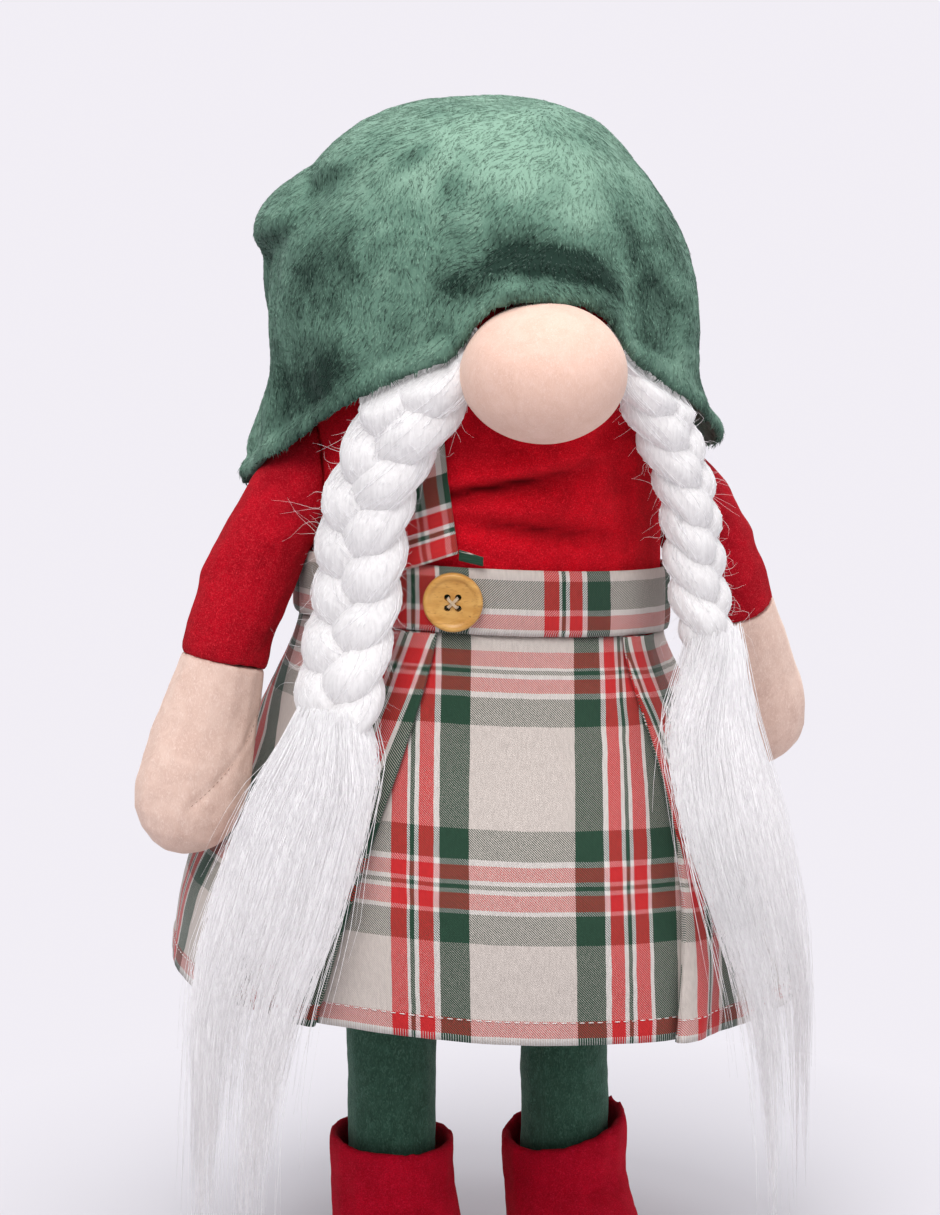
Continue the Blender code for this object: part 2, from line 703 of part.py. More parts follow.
def build_arm(side, shoulder, wrist, tip, trunk, room):
    """One felt sleeve and the fleece mitten sewn to its end."""
    down = wrist - shoulder
    bow = Vector((math.copysign(ARM_BOW, shoulder.x), 0.0, 0.0))
    end_way = down - bow * 4
    # Share of the way down the sleeve, half width, half depth
    sleeve_stations = [
        (0.0, Vector((0.006, 0.007))), (0.04, Vector((0.0120, 0.0135))), (0.16, Vector((0.0150, 0.0170))),
        (0.45, Vector((SLEEVE_HALF_WIDTH, 0.0190))), (0.75, Vector((SLEEVE_HALF_WIDTH, 0.0185))),
        (1.0, Vector((SLEEVE_HALF_WIDTH - 0.0012, 0.0165))),
    ]
    rings = []
    for share in (0.0, 0.04, 0.12, 0.28, 0.48, 0.70, 0.88, 1.0):
        half_width, half_depth = along(sleeve_stations, share)
        middle = shoulder + down * share + bow * 4 * share * (1 - share)
        way = down + bow * 4 * (1 - 2 * share)
        rings.append(limb_ring(middle, way, half_width, half_depth))
    sleeve = loft(f"sleeve_{side}", rings, finish("red felt, sleeve", (0.52, 0.012, 0.02), 0.95))
    seat(sleeve, trunk)
    join_or_cut(sleeve, room, 'DIFFERENCE')

    reach = tip - wrist
    start = end_way.normalized() * TOUCH
    hand_stations = [
        (0.0, Vector((SLEEVE_HALF_WIDTH - 0.0012, 0.0160))), (0.35, Vector((0.0215, HAND_HALF_DEPTH))),
        (0.65, Vector((HAND_HALF_WIDTH, HAND_HALF_DEPTH))), (0.84, Vector((0.0205, 0.0145))),
        (0.95, Vector((0.0135, 0.0105))), (1.0, Vector((0.005, 0.004))),
    ]
    rings = []
    for share in (0.0, 0.18, 0.38, 0.56, 0.70, 0.82, 0.91, 0.97, 1.0):
        half_width, half_depth = along(hand_stations, share)
        turn = mix(end_way.normalized(), reach.normalized(), min(share * 3, 1.0))
        rings.append(limb_ring(wrist + start + reach * share, turn, half_width, half_depth))
    loft(f"hand_{side}", rings, finish("peach fleece, hand", (0.80, 0.57, 0.48), 0.95))
    return sleeve


# Plaits

class Plait:
    """Route and sizes of one plait and its tassel; heights run downwards."""

    def __init__(self, side, route, half_width, half_depth, pitch, tassel):
        self.side = side
        # Height, angle and how far the plait's middle lies beyond the waist's half width
        self.route = [
            (-height, Vector((math.radians(angle), WAIST_HALF_WIDTH + beyond))) for height, angle, beyond in route]
        self.top = route[0][0]
        self.tie = route[-1][0]
        self.half_width = half_width
        self.half_depth = half_depth
        self.pitch = pitch
        # Height, angle, half width and half depth of the loose hair
        self.tassel = tassel

    def frame(self, height):
        """Middle of the plait at a height, with its sideways and outward directions."""
        angle, radius = along(self.route, -height)
        out = Vector((math.sin(angle), -math.cos(angle), 0.0))
        across = Vector((math.cos(angle), math.sin(angle), 0.0))
        return out * radius + Vector((0, 0, height)), across, out


def hair_ring(middle, across, out, spots):
    """A ring of hair across a plait or a tassel, from (sideways, outward) spots, clear of the clothes."""
    return [clear_of_dress(middle + across * wide + out * deep) for wide, deep in spots]


PLAITS = [
    Plait(
        "minus_x",
        [(0.416, -35, 0.0010), (0.400, -37, 0.0053), (0.380, -41, 0.0103), (0.362, -44, 0.0123),
         (0.345, -46, 0.0137), (0.325, -46, 0.0160), (0.308, -46.5, 0.0205), (0.290, -46, 0.0285),
         (0.272, -45, 0.0355)],
        0.0190, 0.0118, PLAIT_PITCH,
        [(0.272, -45.0, 0.0105, 0.0075), (0.262, -45.5, 0.0185, 0.0095),
         (0.246, -47.5, 0.0255, 0.0110), (0.222, -49.0, 0.0290, 0.0105),
         (0.196, -51.0, 0.0310, 0.0095), (0.170, -54.0, 0.0300, 0.0085),
         (0.145, -56.0, 0.0260, 0.0075), (0.115, -57.5, 0.0190, 0.0060),
         (0.085, -58.5, 0.0080, 0.0035)],
    ),
    Plait(
        "plus_x",
        [(0.412, 47, 0.0), (0.396, 50, 0.0050), (0.376, 52, 0.0105), (0.355, 54, 0.0150),
         (0.322, 54, 0.0195), (0.308, 53, 0.0230), (0.293, 52, 0.0285)],
        0.0150, 0.0108, PLAIT_PITCH * 0.82,
        [(0.293, 52.0, 0.0100, 0.0075), (0.284, 51.0, 0.0195, 0.0095),
         (0.268, 47.5, 0.0265, 0.0110), (0.240, 43.5, 0.0300, 0.0110),
         (0.210, 43.5, 0.0305, 0.0100), (0.180, 46.0, 0.0300, 0.0090),
         (0.150, 49.0, 0.0290, 0.0080), (0.120, 51.0, 0.0240, 0.0065),
         (0.085, 52.5, 0.0080, 0.0035)],
    ),
]
PLAIT_CORNERS = 16
ROWS_A_TURN = 14


def strand_middle(plait, height, phase):
    """Where a strand's middle is across the plait at a height."""
    turn = 2 * math.pi * (plait.top - height) / plait.pitch + phase
    wide = STRAND_SWING * plait.half_width * math.sin(turn)
    return Vector((wide, STRAND_WEAVE * plait.half_depth * math.sin(2 * turn)))


def strand_reach(way, middle, half_wide, half_deep):
    """How far a strand's oval section reaches from the plait's middle in a direction."""
    scaled_way = Vector((way.x / half_wide, way.y / half_deep))
    scaled_middle = Vector((middle.x / half_wide, middle.y / half_deep))
    size = scaled_way.length_squared
    half = scaled_way.dot(scaled_middle)
    rest = half * half - size * (scaled_middle.length_squared - 1)
    return (half + math.sqrt(rest)) / size if rest > 0 else 0.0


def build_plait(plait, material, hat):
    """Three strands laid over each other in turn, as one bundle of hair, sewn in under the hat."""
    length = plait.top - plait.tie
    rows = round(length / plait.pitch * ROWS_A_TURN)
    half_wide = (1 - STRAND_SWING) * plait.half_width
    half_deep = (1 - STRAND_WEAVE) * plait.half_depth
    rings = []
    for row in range(rows + 1):
        share = row / rows
        height = mix(plait.top, plait.tie + TOUCH, share)
        size = mix(0.60, 1.0, min(share * 6, 1.0)) * mix(0.70, 1.0, min((1 - share) * 6, 1.0))
        middle, across, out = plait.frame(height)
        spots = [strand_middle(plait, height, 2 * math.pi * strand / 3) for strand in range(3)]
        outline = []
        for angle in angles(PLAIT_CORNERS):
            way = Vector((math.cos(angle), math.sin(angle)))
            reach = max(strand_reach(way, spot, half_wide, half_deep) for spot in spots)
            outline.append(way * max(reach, 0.45 * plait.half_depth) * size)
        rings.append(hair_ring(middle, across, out, outline))
    bundle = loft(f"plait_{plait.side}", rings, material, 80)
    seat(bundle, hat)
    return bundle


def build_tie(plait):
    """A round of thread that holds the end of the plait."""
    middle, across, out = plait.frame(plait.tie)
    half_wide = 0.83 * plait.half_width + TIE_RADIUS
    half_deep = 0.86 * plait.half_depth + TIE_RADIUS
    sections = []
    for angle in angles(12):
        section = []
        for tilt in angles(5):
            off = TIE_RADIUS * math.cos(tilt)
            spot = middle + across * math.cos(angle) * (half_wide + off)
            spot += out * math.sin(angle) * (half_deep + off)
            section.append(spot + Vector((0.0, 0.0, TIE_RADIUS * math.sin(tilt))))
        sections.append(section)
    return hoop(f"hair_tie_{plait.side}", sections, finish("hair tie", (0.80, 0.80, 0.80), 0.8))


def build_tassel(plait, material):
    """The loose hair below the tie, fanned out over the skirt and hanging past its hem."""
    rings = []
    for height, angle, half_wide, half_deep in plait.tassel:
        angle = math.radians(angle)
        out = Vector((math.sin(angle), -math.cos(angle), 0.0))
        across = Vector((math.cos(angle), math.sin(angle), 0.0))
        _, tie_radius = along(plait.route, -height)
        touching = hair_floor(out * tie_radius + Vector((0, 0, height))) + half_deep
        radius = max(tie_radius if height == plait.tie else 0.0, touching)
        middle = out * radius + Vector((0, 0, height - TOUCH))
        outline = []
        for turn in angles(14):
            wide = half_wide * math.cos(turn)
            # The hair bends back round the skirt at its two sides
            bend = -wide * wide / (2 * radius)
            outline.append((wide, half_deep * math.sin(turn) + bend))
        rings.append(hair_ring(middle, across, out, outline))
    return loft(f"tassel_{plait.side}", rings, material, 80)


# Legs and boots

def boot_ring(side, height, middle_y, half_length, half_width, tilt=0.0):
    """A ring round a boot, longer than wide, which may tilt up towards the outer side."""
    count = 16
    ring = []
    for step in range(count):
        turn = 2 * math.pi * step / count
        x = half_width * math.sin(turn)
        y = middle_y - half_length * math.cos(turn)
        lift = tilt * math.sin(turn) * side - abs(tilt) * 0.6 * (1 + math.cos(turn)) / 2
        ring.append(Vector((side * LEG_SPREAD + x, LEG_BACK + y, height + lift)))
    return ring


def build_leg(side, name, trunk):
    """Leg: a fleece tube, stuffed, sewn into the trunk and pushed into its boot."""
    rings = []
    count = 14
    for step, height in enumerate((INSOLE_HEIGHT + TOUCH, 0.030, 0.060, 0.090, 0.120, 0.160, LEG_TOP)):
        radius = LEG_RADIUS * (1 + 0.02 * math.sin(2.3 * step + side))
        ring = []
        for corner in range(count):
            turn = 2 * math.pi * corner / count
            x = side * LEG_SPREAD + radius * math.cos(turn)
            y = LEG_BACK + radius * math.sin(turn)
            ring.append(Vector((x, y, height)))
        rings.append(ring)
    leg = loft(f"leg_{name}", rings, finish("green fleece, leg", (0.045, 0.13, 0.075), 0.95))
    seat(leg, trunk)
    return leg


def build_boot(side, name):
    """Boot: a felt upper with an open top, and the felt sole under it."""
    felt = finish("red felt, boot", (0.55, 0.015, 0.025), 0.95)
    half_foot = FOOT_LENGTH / 2
    shift = BOOT_HALF_WIDTH + 0.001 - half_foot
    low = SOLE_THICKNESS + TOUCH
    rim_tilt = 0.0055 if side > 0 else 0.0015
    inner = BOOT_HALF_WIDTH - BOOT_FELT
    rings = [
        boot_ring(side, low, shift, half_foot - 0.003, FOOT_HALF_WIDTH - 0.003),
        boot_ring(side, low + 0.004, shift, half_foot, FOOT_HALF_WIDTH),
        boot_ring(side, low + 0.015, shift, half_foot - 0.001, FOOT_HALF_WIDTH),
        boot_ring(side, low + 0.025, shift * 0.80, half_foot - 0.008, FOOT_HALF_WIDTH - 0.0005),
        boot_ring(side, low + 0.034, shift * 0.36, half_foot * 0.70, BOOT_HALF_WIDTH + 0.0005),
        boot_ring(side, low + 0.043, 0.0, BOOT_HALF_WIDTH, BOOT_HALF_WIDTH),
        boot_ring(side, BOOT_HEIGHT - 0.003, 0.0, BOOT_HALF_WIDTH, BOOT_HALF_WIDTH, rim_tilt),
        boot_ring(side, BOOT_HEIGHT, 0.0, BOOT_HALF_WIDTH - 0.001, BOOT_HALF_WIDTH - 0.001, rim_tilt),
        boot_ring(side, BOOT_HEIGHT - 0.001, 0.0, inner, inner, rim_tilt),
        boot_ring(side, low + 0.030, 0.0, inner - 0.001, inner - 0.001),
        boot_ring(side, INSOLE_HEIGHT, 0.0, LEG_RADIUS + 0.001, LEG_RADIUS + 0.001),
    ]
    loft(f"boot_{name}", rings, felt, 60)

    sole_rings = [
        boot_ring(side, 0.0, shift, half_foot - 0.002, FOOT_HALF_WIDTH - 0.002),
        boot_ring(side, 0.001, shift, half_foot - 0.0012, FOOT_HALF_WIDTH - 0.0012),
        boot_ring(side, SOLE_THICKNESS, shift, half_foot - 0.0012, FOOT_HALF_WIDTH - 0.0012),
    ]
    loft(f"sole_{name}", sole_rings, finish("dark felt, sole", (0.30, 0.01, 0.015), 0.95), 40)


def centre_figure():
    """Parent every piece to one empty, which centres the figure on the origin."""
    bpy.context.view_layer.update()
    graph = bpy.context.evaluated_depsgraph_get()
    corners = []
    for piece in FIGURE.objects:
        seen = piece.evaluated_get(graph)
        mesh = seen.to_mesh()
        corners.extend(vertex.co.copy() for vertex in mesh.vertices)
        seen.to_mesh_clear()
    middle_x = (min(corner.x for corner in corners) + max(corner.x for corner in corners)) / 2
    middle_y = (min(corner.y for corner in corners) + max(corner.y for corner in corners)) / 2
    stand = bpy.data.objects.new("figure_stand", None)
    stand.location = (-middle_x, -middle_y, 0.0)
    bpy.context.scene.collection.objects.link(stand)
    for piece in list(FIGURE.objects) + list(CUTTERS.objects):
        piece.parent = stand


clear_scene()
FIGURE = new_collection("gnome_figure")
CUTTERS = new_collection("cutters")

trunk_piece = build_trunk()
hat_piece = build_hat(trunk_piece)
build_nose(trunk_piece)
build_waistband()
build_strap()
build_skirt()
build_button()
build_thread()
waist_cutter = waist_room()
for arm in ARMS:
    build_arm(*arm, trunk_piece, waist_cutter)
for one_plait in PLAITS:
    hair = finish(f"white hair, {one_plait.side}", (0.82, 0.82, 0.84), 0.6)
    build_plait(one_plait, hair, hat_piece)
    build_tie(one_plait)
    build_tassel(one_plait, hair)
for leg_side, leg_name in ((-1, "minus_x"), (1, "plus_x")):
    build_leg(leg_side, leg_name, trunk_piece)
    build_boot(leg_side, leg_name)
centre_figure()
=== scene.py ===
"""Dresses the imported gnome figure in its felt, fleece, plush, tartan, hair and wood."""

import math

import bmesh
import bpy
import numpy as np
from mathutils import Matrix, Vector, noise
from mathutils.bvhtree import BVHTree


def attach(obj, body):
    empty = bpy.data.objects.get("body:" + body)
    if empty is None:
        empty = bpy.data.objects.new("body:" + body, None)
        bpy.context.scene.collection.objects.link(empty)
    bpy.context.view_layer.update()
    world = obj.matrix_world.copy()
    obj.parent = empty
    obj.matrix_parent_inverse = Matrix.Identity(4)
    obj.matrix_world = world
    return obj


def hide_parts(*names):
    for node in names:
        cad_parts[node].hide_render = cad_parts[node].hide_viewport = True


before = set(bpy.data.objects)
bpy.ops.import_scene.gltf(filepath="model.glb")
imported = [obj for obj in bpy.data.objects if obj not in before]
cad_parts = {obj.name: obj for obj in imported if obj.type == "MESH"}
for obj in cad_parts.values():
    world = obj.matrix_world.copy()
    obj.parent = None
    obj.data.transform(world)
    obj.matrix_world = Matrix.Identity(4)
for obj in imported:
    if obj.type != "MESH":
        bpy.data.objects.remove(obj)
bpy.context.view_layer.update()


# Camera
# The photograph was taken with a long lens from a little above the figure's waist and from a little
# to its right. Its lower edge cuts the boots, and so does this view.

# The figure's own axis stands this far from the middle of its box
AXIS = Vector((-0.0016, 0.0009, 0.0))
PICTURE_WIDTH = 940
PICTURE_HEIGHT = 1215
PIXEL = 0.00042
AXIS_PIXEL = 482
VIEW_DISTANCE = 1.4
VIEW_TURN = math.radians(-13)
VIEW_RISE = math.radians(12)
AIM_HEIGHT = 0.302
FILM_HEIGHT = 36.0

view_back = Vector((
    math.sin(VIEW_TURN) * math.cos(VIEW_RISE), -math.cos(VIEW_TURN) * math.cos(VIEW_RISE), math.sin(VIEW_RISE)))
view_right = Vector((math.cos(VIEW_TURN), math.sin(VIEW_TURN), 0.0))
view_up = view_back.cross(view_right)
aim = Vector((0.0, 0.0, AIM_HEIGHT)) - view_right * (AXIS_PIXEL - PICTURE_WIDTH / 2) * PIXEL + AXIS
eye = aim + view_back * VIEW_DISTANCE
camera_data = bpy.data.cameras.new("photograph_camera")
camera_data.sensor_fit = 'VERTICAL'
camera_data.sensor_height = FILM_HEIGHT
camera_data.lens = VIEW_DISTANCE / PIXEL / PICTURE_HEIGHT * FILM_HEIGHT
camera_data.clip_start = 0.05
camera = bpy.data.objects.new("photograph_camera", camera_data)
camera.matrix_world = Matrix.Translation(eye) @ Matrix((view_right, view_up, view_back)).transposed().to_4x4()
bpy.context.scene.collection.objects.link(camera)
bpy.context.scene.camera = camera


def sight_line(x, y):
    """Direction from the camera through a point of the picture."""
    across = (x - PICTURE_WIDTH / 2) * PIXEL
    down = (y - PICTURE_HEIGHT / 2) * PIXEL
    return (view_right * across - view_up * down - view_back * VIEW_DISTANCE).normalized()


# Stuffed body
# One bag of red felt, stuffed firmly, with the head hidden in the hat. The felt is pressed fibre,
# slightly mottled, and it folds in a few soft creases under the chin.

WELD = 0.00002
BODY_DEPTH_RATIO = 0.88


def in_radians(folds):
    """Folds with their angle and their reach round the figure turned from degrees."""
    return [(math.radians(middle), centre, math.radians(reach), tall, slope, depth)
            for middle, centre, reach, tall, slope, depth in folds]


# Soft creases: angle and height of the middle, reach round and up, slope, depth; plus is a ridge
CHEST_FOLDS = in_radians([
    (-5, 0.3645, 28, 0.0030, 0.011, -0.0060),
    (0, 0.3715, 34, 0.0050, 0.011, 0.0032),
    (8, 0.3463, 26, 0.0034, -0.010, -0.0044),
    (4, 0.3558, 28, 0.0046, 0.0, 0.0032),
    (6, 0.3390, 26, 0.0040, -0.006, 0.0015),
    (30, 0.3800, 10, 0.0050, 0.030, -0.0030),
    (38, 0.3620, 7, 0.0160, -0.020, -0.0024),
])
# The same folds' sharp bottoms, where shade is painted darkest into the felt's colour; the last value is the
# amount of painted shade
CHEST_CREASE_SHADE = in_radians([
    (-10, 0.3640, 24, 0.0013, 0.011, 0.95),
    (-5, 0.3632, 30, 0.0040, 0.011, 0.38),
    (8, 0.3460, 22, 0.0016, -0.010, 0.42),
    (8, 0.3452, 28, 0.0045, -0.010, 0.34),
    (-22, 0.3830, 14, 0.0100, 0.010, 0.30),
])


def new_material(name, roughness, sheen=0.0, sheen_tint=(1.0, 1.0, 1.0)):
    """A material with its node tree and shader; what is even all over is set on the shader here."""
    material = bpy.data.materials.new(name)
    material.use_nodes = True
    tree = material.node_tree
    shader = tree.nodes["Principled BSDF"]
    shader.inputs["Roughness"].default_value = roughness
    shader.inputs["Specular IOR Level"].default_value = 0.25
    shader.inputs["Sheen Weight"].default_value = sheen
    shader.inputs["Sheen Roughness"].default_value = 0.45
    shader.inputs["Sheen Tint"].default_value = (*sheen_tint, 1.0)
    return material, tree, shader


def add_node(tree, kind, inputs=None, **settings):
    """A new node, its inputs given as values or as the sockets that feed them."""
    made = tree.nodes.new(kind)
    for key, value in settings.items():
        setattr(made, key, value)
    for key, value in (inputs or {}).items():
        if isinstance(value, bpy.types.NodeSocket):
            tree.links.new(value, made.inputs[key])
        else:
            made.inputs[key].default_value = value
    return made


def grain(tree, place, size, detail=3.0, distortion=0.0, stretch=(1.0, 1.0, 1.0)):
    """Noise whose features are about one size, in metres, and may be drawn out along an axis."""
    if stretch != (1.0, 1.0, 1.0):
        place = add_node(tree, "ShaderNodeMapping", {"Vector": place, "Scale": stretch}).outputs["Vector"]
    settings = {"Vector": place, "Scale": 1.0 / size, "Detail": detail, "Distortion": distortion}
    return add_node(tree, "ShaderNodeTexNoise", settings).outputs["Fac"]


def blend_of(tree, share, first, second, kind='MIX'):
    """A colour between two, given as values or sockets."""
    made = add_node(tree, "ShaderNodeMix", data_type='RGBA', blend_type=kind)
    for socket, value in ((made.inputs[0], share), (made.inputs[6], first), (made.inputs[7], second)):
        if isinstance(value, bpy.types.NodeSocket):
            tree.links.new(value, socket)
        else:
            socket.default_value = (*value, 1.0) if isinstance(value, tuple) else value
    return made.outputs[2]


def between(tree, value, low, high):
    """A value stretched so that low becomes 0 and high becomes 1."""
    made = add_node(tree, "ShaderNodeMapRange", {"Value": value, "From Min": low, "From Max": high})
    return made.outputs["Result"]


def sums(tree, first, operation, second):
    """One step of arithmetic on values or sockets."""
    return add_node(tree, "ShaderNodeMath", {0: first, 1: second}, operation=operation).outputs[0]


def raise_surface(tree, shader, height, depth, strength=1.0):
    """Relief in the finish, its depth in metres."""
    settings = {"Height": height, "Distance": depth, "Strength": strength}
    bump = add_node(tree, "ShaderNodeBump", settings)
    tree.links.new(bump.outputs["Normal"], shader.inputs["Normal"])


def felt_material(name, dark, middle, light):
    """Pressed wool felt: mottled, with short fibres lying all ways, and painted shade in its creases from the
    piece's crease amounts.
    """
    material, tree, shader = new_material(name, 0.95, 0.04, (1.0, 0.30, 0.25))
    shader.inputs["Specular IOR Level"].default_value = 0.1
    place = add_node(tree, "ShaderNodeTexCoord").outputs["Object"]
    mottle = grain(tree, place, 0.011, 4.0, 0.6)
    fibre = grain(tree, place, 0.0011, 3.0, 2.2)
    fine = grain(tree, place, 0.00045, 2.0, 1.0)
    colour = blend_of(tree, between(tree, mottle, 0.32, 0.68), dark, middle)
    colour = blend_of(tree, between(tree, fibre, 0.46, 0.70), colour, light)
    colour = blend_of(tree, between(tree, fine, 0.66, 0.24), colour, tuple(0.72 * part for part in dark))
    # Painted shade: the colour darkens towards the darkest felt where the piece's crease amount rises
    crease = add_node(tree, "ShaderNodeAttribute", attribute_name="crease").outputs["Fac"]
    colour = blend_of(tree, crease, colour, tuple(0.22 * part for part in dark))
    tree.links.new(colour, shader.inputs["Base Color"])
    relief = sums(tree, sums(tree, fibre, 'MULTIPLY', 1.4), 'ADD', fine)
    raise_surface(tree, shader, relief, 0.0005, 0.55)
    return material


def plain_mesh(piece):
    """The piece with its modifiers made real."""
    bpy.context.view_layer.update()
    graph = bpy.context.evaluated_depsgraph_get()
    mesh = bpy.data.meshes.new_from_object(piece.evaluated_get(graph))
    piece.modifiers.clear()
    piece.data = mesh
    mesh.name = piece.name
    return piece


def show(name, mesh, material):
    """A new piece in the scene, with its material and smooth faces."""
    piece = bpy.data.objects.new(name, mesh)
    bpy.context.scene.collection.objects.link(piece)
    mesh.materials.clear()
    mesh.materials.append(material)
    mesh.shade_smooth()
    return piece


def even_faces(piece, voxel, rounds):
    """The piece remade in faces of one size, with its corners softened over a few rounds."""
    material = piece.data.materials[0]
    even = piece.modifiers.new("Even faces", 'REMESH')
    even.mode = 'VOXEL'
    even.voxel_size = voxel
    soften = piece.modifiers.new("Soften", 'SMOOTH')
    soften.factor = 0.5
    soften.iterations = rounds
    plain_mesh(piece)
    piece.data.materials.clear()
    piece.data.materials.append(material)
    piece.data.shade_smooth()
    return piece


def soft_copy(node, name, material, voxel, rounds):
    """A piece of soft goods in the space of its solid."""
    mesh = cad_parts[node].data.copy()
    form = bmesh.new()
    form.from_mesh(mesh)
    bmesh.ops.remove_doubles(form, verts=form.verts, dist=WELD)
    form.to_mesh(mesh)
    form.free()
    return even_faces(show(name, mesh, material), voxel, rounds)


def turn_gap(angle, other):
    """Signed difference of two angles, between -pi and pi."""
    return (angle - other + math.pi) % (2 * math.pi) - math.pi


def angle_round(point, depth_ratio):
    """Angle of a point round the figure, 0 in front, on ellipses of a depth for their width."""
    local = point - AXIS
    return math.atan2(local.x, -local.y / depth_ratio)


def hump(at, centre, reach):
    """A smooth rise to 1 at the centre, which has died away two reaches off."""
    return math.exp(-((at - centre) / reach) ** 2)


def fold_rise(folds, angle, height):
    """How far soft folds lift the cloth at an angle round the figure and a height."""
    rise = 0.0
    for middle, centre, reach, tall, slope, depth in folds:
        sideways = turn_gap(angle, middle)
        rise += depth * hump(sideways, 0.0, reach) * hump(height, centre + slope * sideways, tall)
    return rise


def lumps(point, size, seed):
    """Even, rolling unevenness between -1 and 1, as stuffing gives."""
    return noise.noise(point / size + Vector((seed, 2.7 * seed, -seed)))


def push(piece, rise):
    """Move each point along its normal by rise(point, normal), in metres."""
    normals = [vertex.normal.copy() for vertex in piece.data.vertices]
    for vertex, normal in zip(piece.data.vertices, normals):
        vertex.co = vertex.co + normal * rise(vertex.co, normal)
    piece.data.update()
    return piece


def on_body(piece, slot, *nodes):
    """The piece rides on the figure and stands for its solids, which are hidden; its slot is not used."""
    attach(piece, "root")
    if nodes:
        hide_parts(*nodes)
    return piece


def set_amounts(mesh, name, amounts):
    """An amount for each point of a mesh, which its material reads by name."""
    layer = mesh.attributes.new(name, 'FLOAT', 'POINT')
    layer.data.foreach_set("value", np.asarray(amounts, np.float32))


def chest_rise(point, normal):
    """Creases and lumps of the stuffed felt."""
    rise = fold_rise(CHEST_FOLDS, angle_round(point, BODY_DEPTH_RATIO), point.z)
    return rise + 0.0006 * lumps(point, 0.022, 1.0) + 0.0002 * lumps(point, 0.006, 2.0)


# Painted light: the body's felt is the sleeves' felt made lighter, to make up for the shade it lies in under
# the nose and hat
body_felt_painted_lighter = felt_material("body felt", (0.44, 0.001, 0.008), (0.76, 0.002, 0.014), (0.90, 0.020, 0.038))
sleeve_felt = felt_material("sleeve felt", (0.34, 0.001, 0.009), (0.57, 0.003, 0.016), (0.72, 0.030, 0.044))
stuffed_body = soft_copy("stuffed_body", "felt_body", body_felt_painted_lighter, voxel=0.0025, rounds=3)
push(stuffed_body, chest_rise)
# Painted shade: each point's amount of shade painted into the creases, which the felt's colour reads as crease
set_amounts(stuffed_body.data, "crease", [
    min(fold_rise(CHEST_CREASE_SHADE, angle_round(vertex.co, BODY_DEPTH_RATIO), vertex.co.z), 1.0)
    for vertex in stuffed_body.data.vertices])
on_body(stuffed_body, "red_felt", "stuffed_body")


# Sleeves
# Two tubes of the same felt, stuffed and sewn to the shoulders under the hat's hem. Each puckers a
# little where the mitten is sewn into its end.

def sleeve_rise(point, normal):
    """Lumps of stuffing, slack diagonal creases and a puckered end."""
    slack = 0.0009 * math.sin(point.z * 190 + abs(point.x) * 120 + 4 * lumps(point, 0.03, 5.0))
    return slack * 0.6 + 0.0008 * lumps(point, 0.017, 3.0) + 0.00025 * lumps(point, 0.005, 4.0)


SIDES = ("minus_x", "plus_x")
for side in SIDES:
    sleeve = soft_copy(f"sleeve_{side}", f"felt_sleeve_{side}", sleeve_felt, voxel=0.0018, rounds=4)
    push(sleeve, sleeve_rise)
    on_body(sleeve, "red_felt", f"sleeve_{side}")


# Mittens
# Two flat halves of peach fleece, sewn round their edge, turned and stuffed. The seam shows as a
# shallow groove with a line of small stitches, which curves across the side towards the picture.

# Points of the picture along the seam of the nearer mitten
MITTEN_SEAM = [(271, 668), (266, 690), (257, 716), (247, 741), (230, 768), (210, 790), (192, 806)]
STITCH_LENGTH = 0.0013
STITCH_GAP = 0.0010
STITCH_RADIUS = 0.00018
SEAM_SPACING = 0.001


def fleece_material(name, dark, middle, light, size=0.0009, depth=0.0004, tint=(1.0, 0.85, 0.75)):
    """Brushed fleece: a soft, short nap with faint cloudy patches."""
    material, tree, shader = new_material(name, 0.95, 0.4, tint)
    place = add_node(tree, "ShaderNodeTexCoord").outputs["Object"]
    cloud = grain(tree, place, 0.007, 4.0, 1.0)
    nap = grain(tree, place, size, 3.0, 1.8, (1.0, 1.0, 0.45))
    colour = blend_of(tree, between(tree, cloud, 0.30, 0.70), dark, middle)
    colour = blend_of(tree, between(tree, nap, 0.48, 0.78), colour, light)
    tree.links.new(colour, shader.inputs["Base Color"])
    raise_surface(tree, shader, nap, depth, 0.5)
    return material


def cubic(start, end, leaving, arriving, share):
    """A place on the smooth curve between two places, from the slopes at them."""
    square = share * share
    cube = square * share
    return (start * (2 * cube - 3 * square + 1) + leaving * (cube - 2 * square + share)
            + end * (3 * square - 2 * cube) + arriving * (cube - square))


def smooth_line(points, spacing):
    """A smooth, evenly spaced path through points."""
    path = []
    last = len(points) - 1
    for step in range(last):
        before, start = points[max(step - 1, 0)], points[step]
        end, after = points[step + 1], points[min(step + 2, last)]
        count = max(int((end - start).length / spacing), 1)
        for part in range(count):
            path.append(cubic(start, end, (end - before) * 0.5, (after - start) * 0.5, part / count))
    path.append(points[-1])
    return path


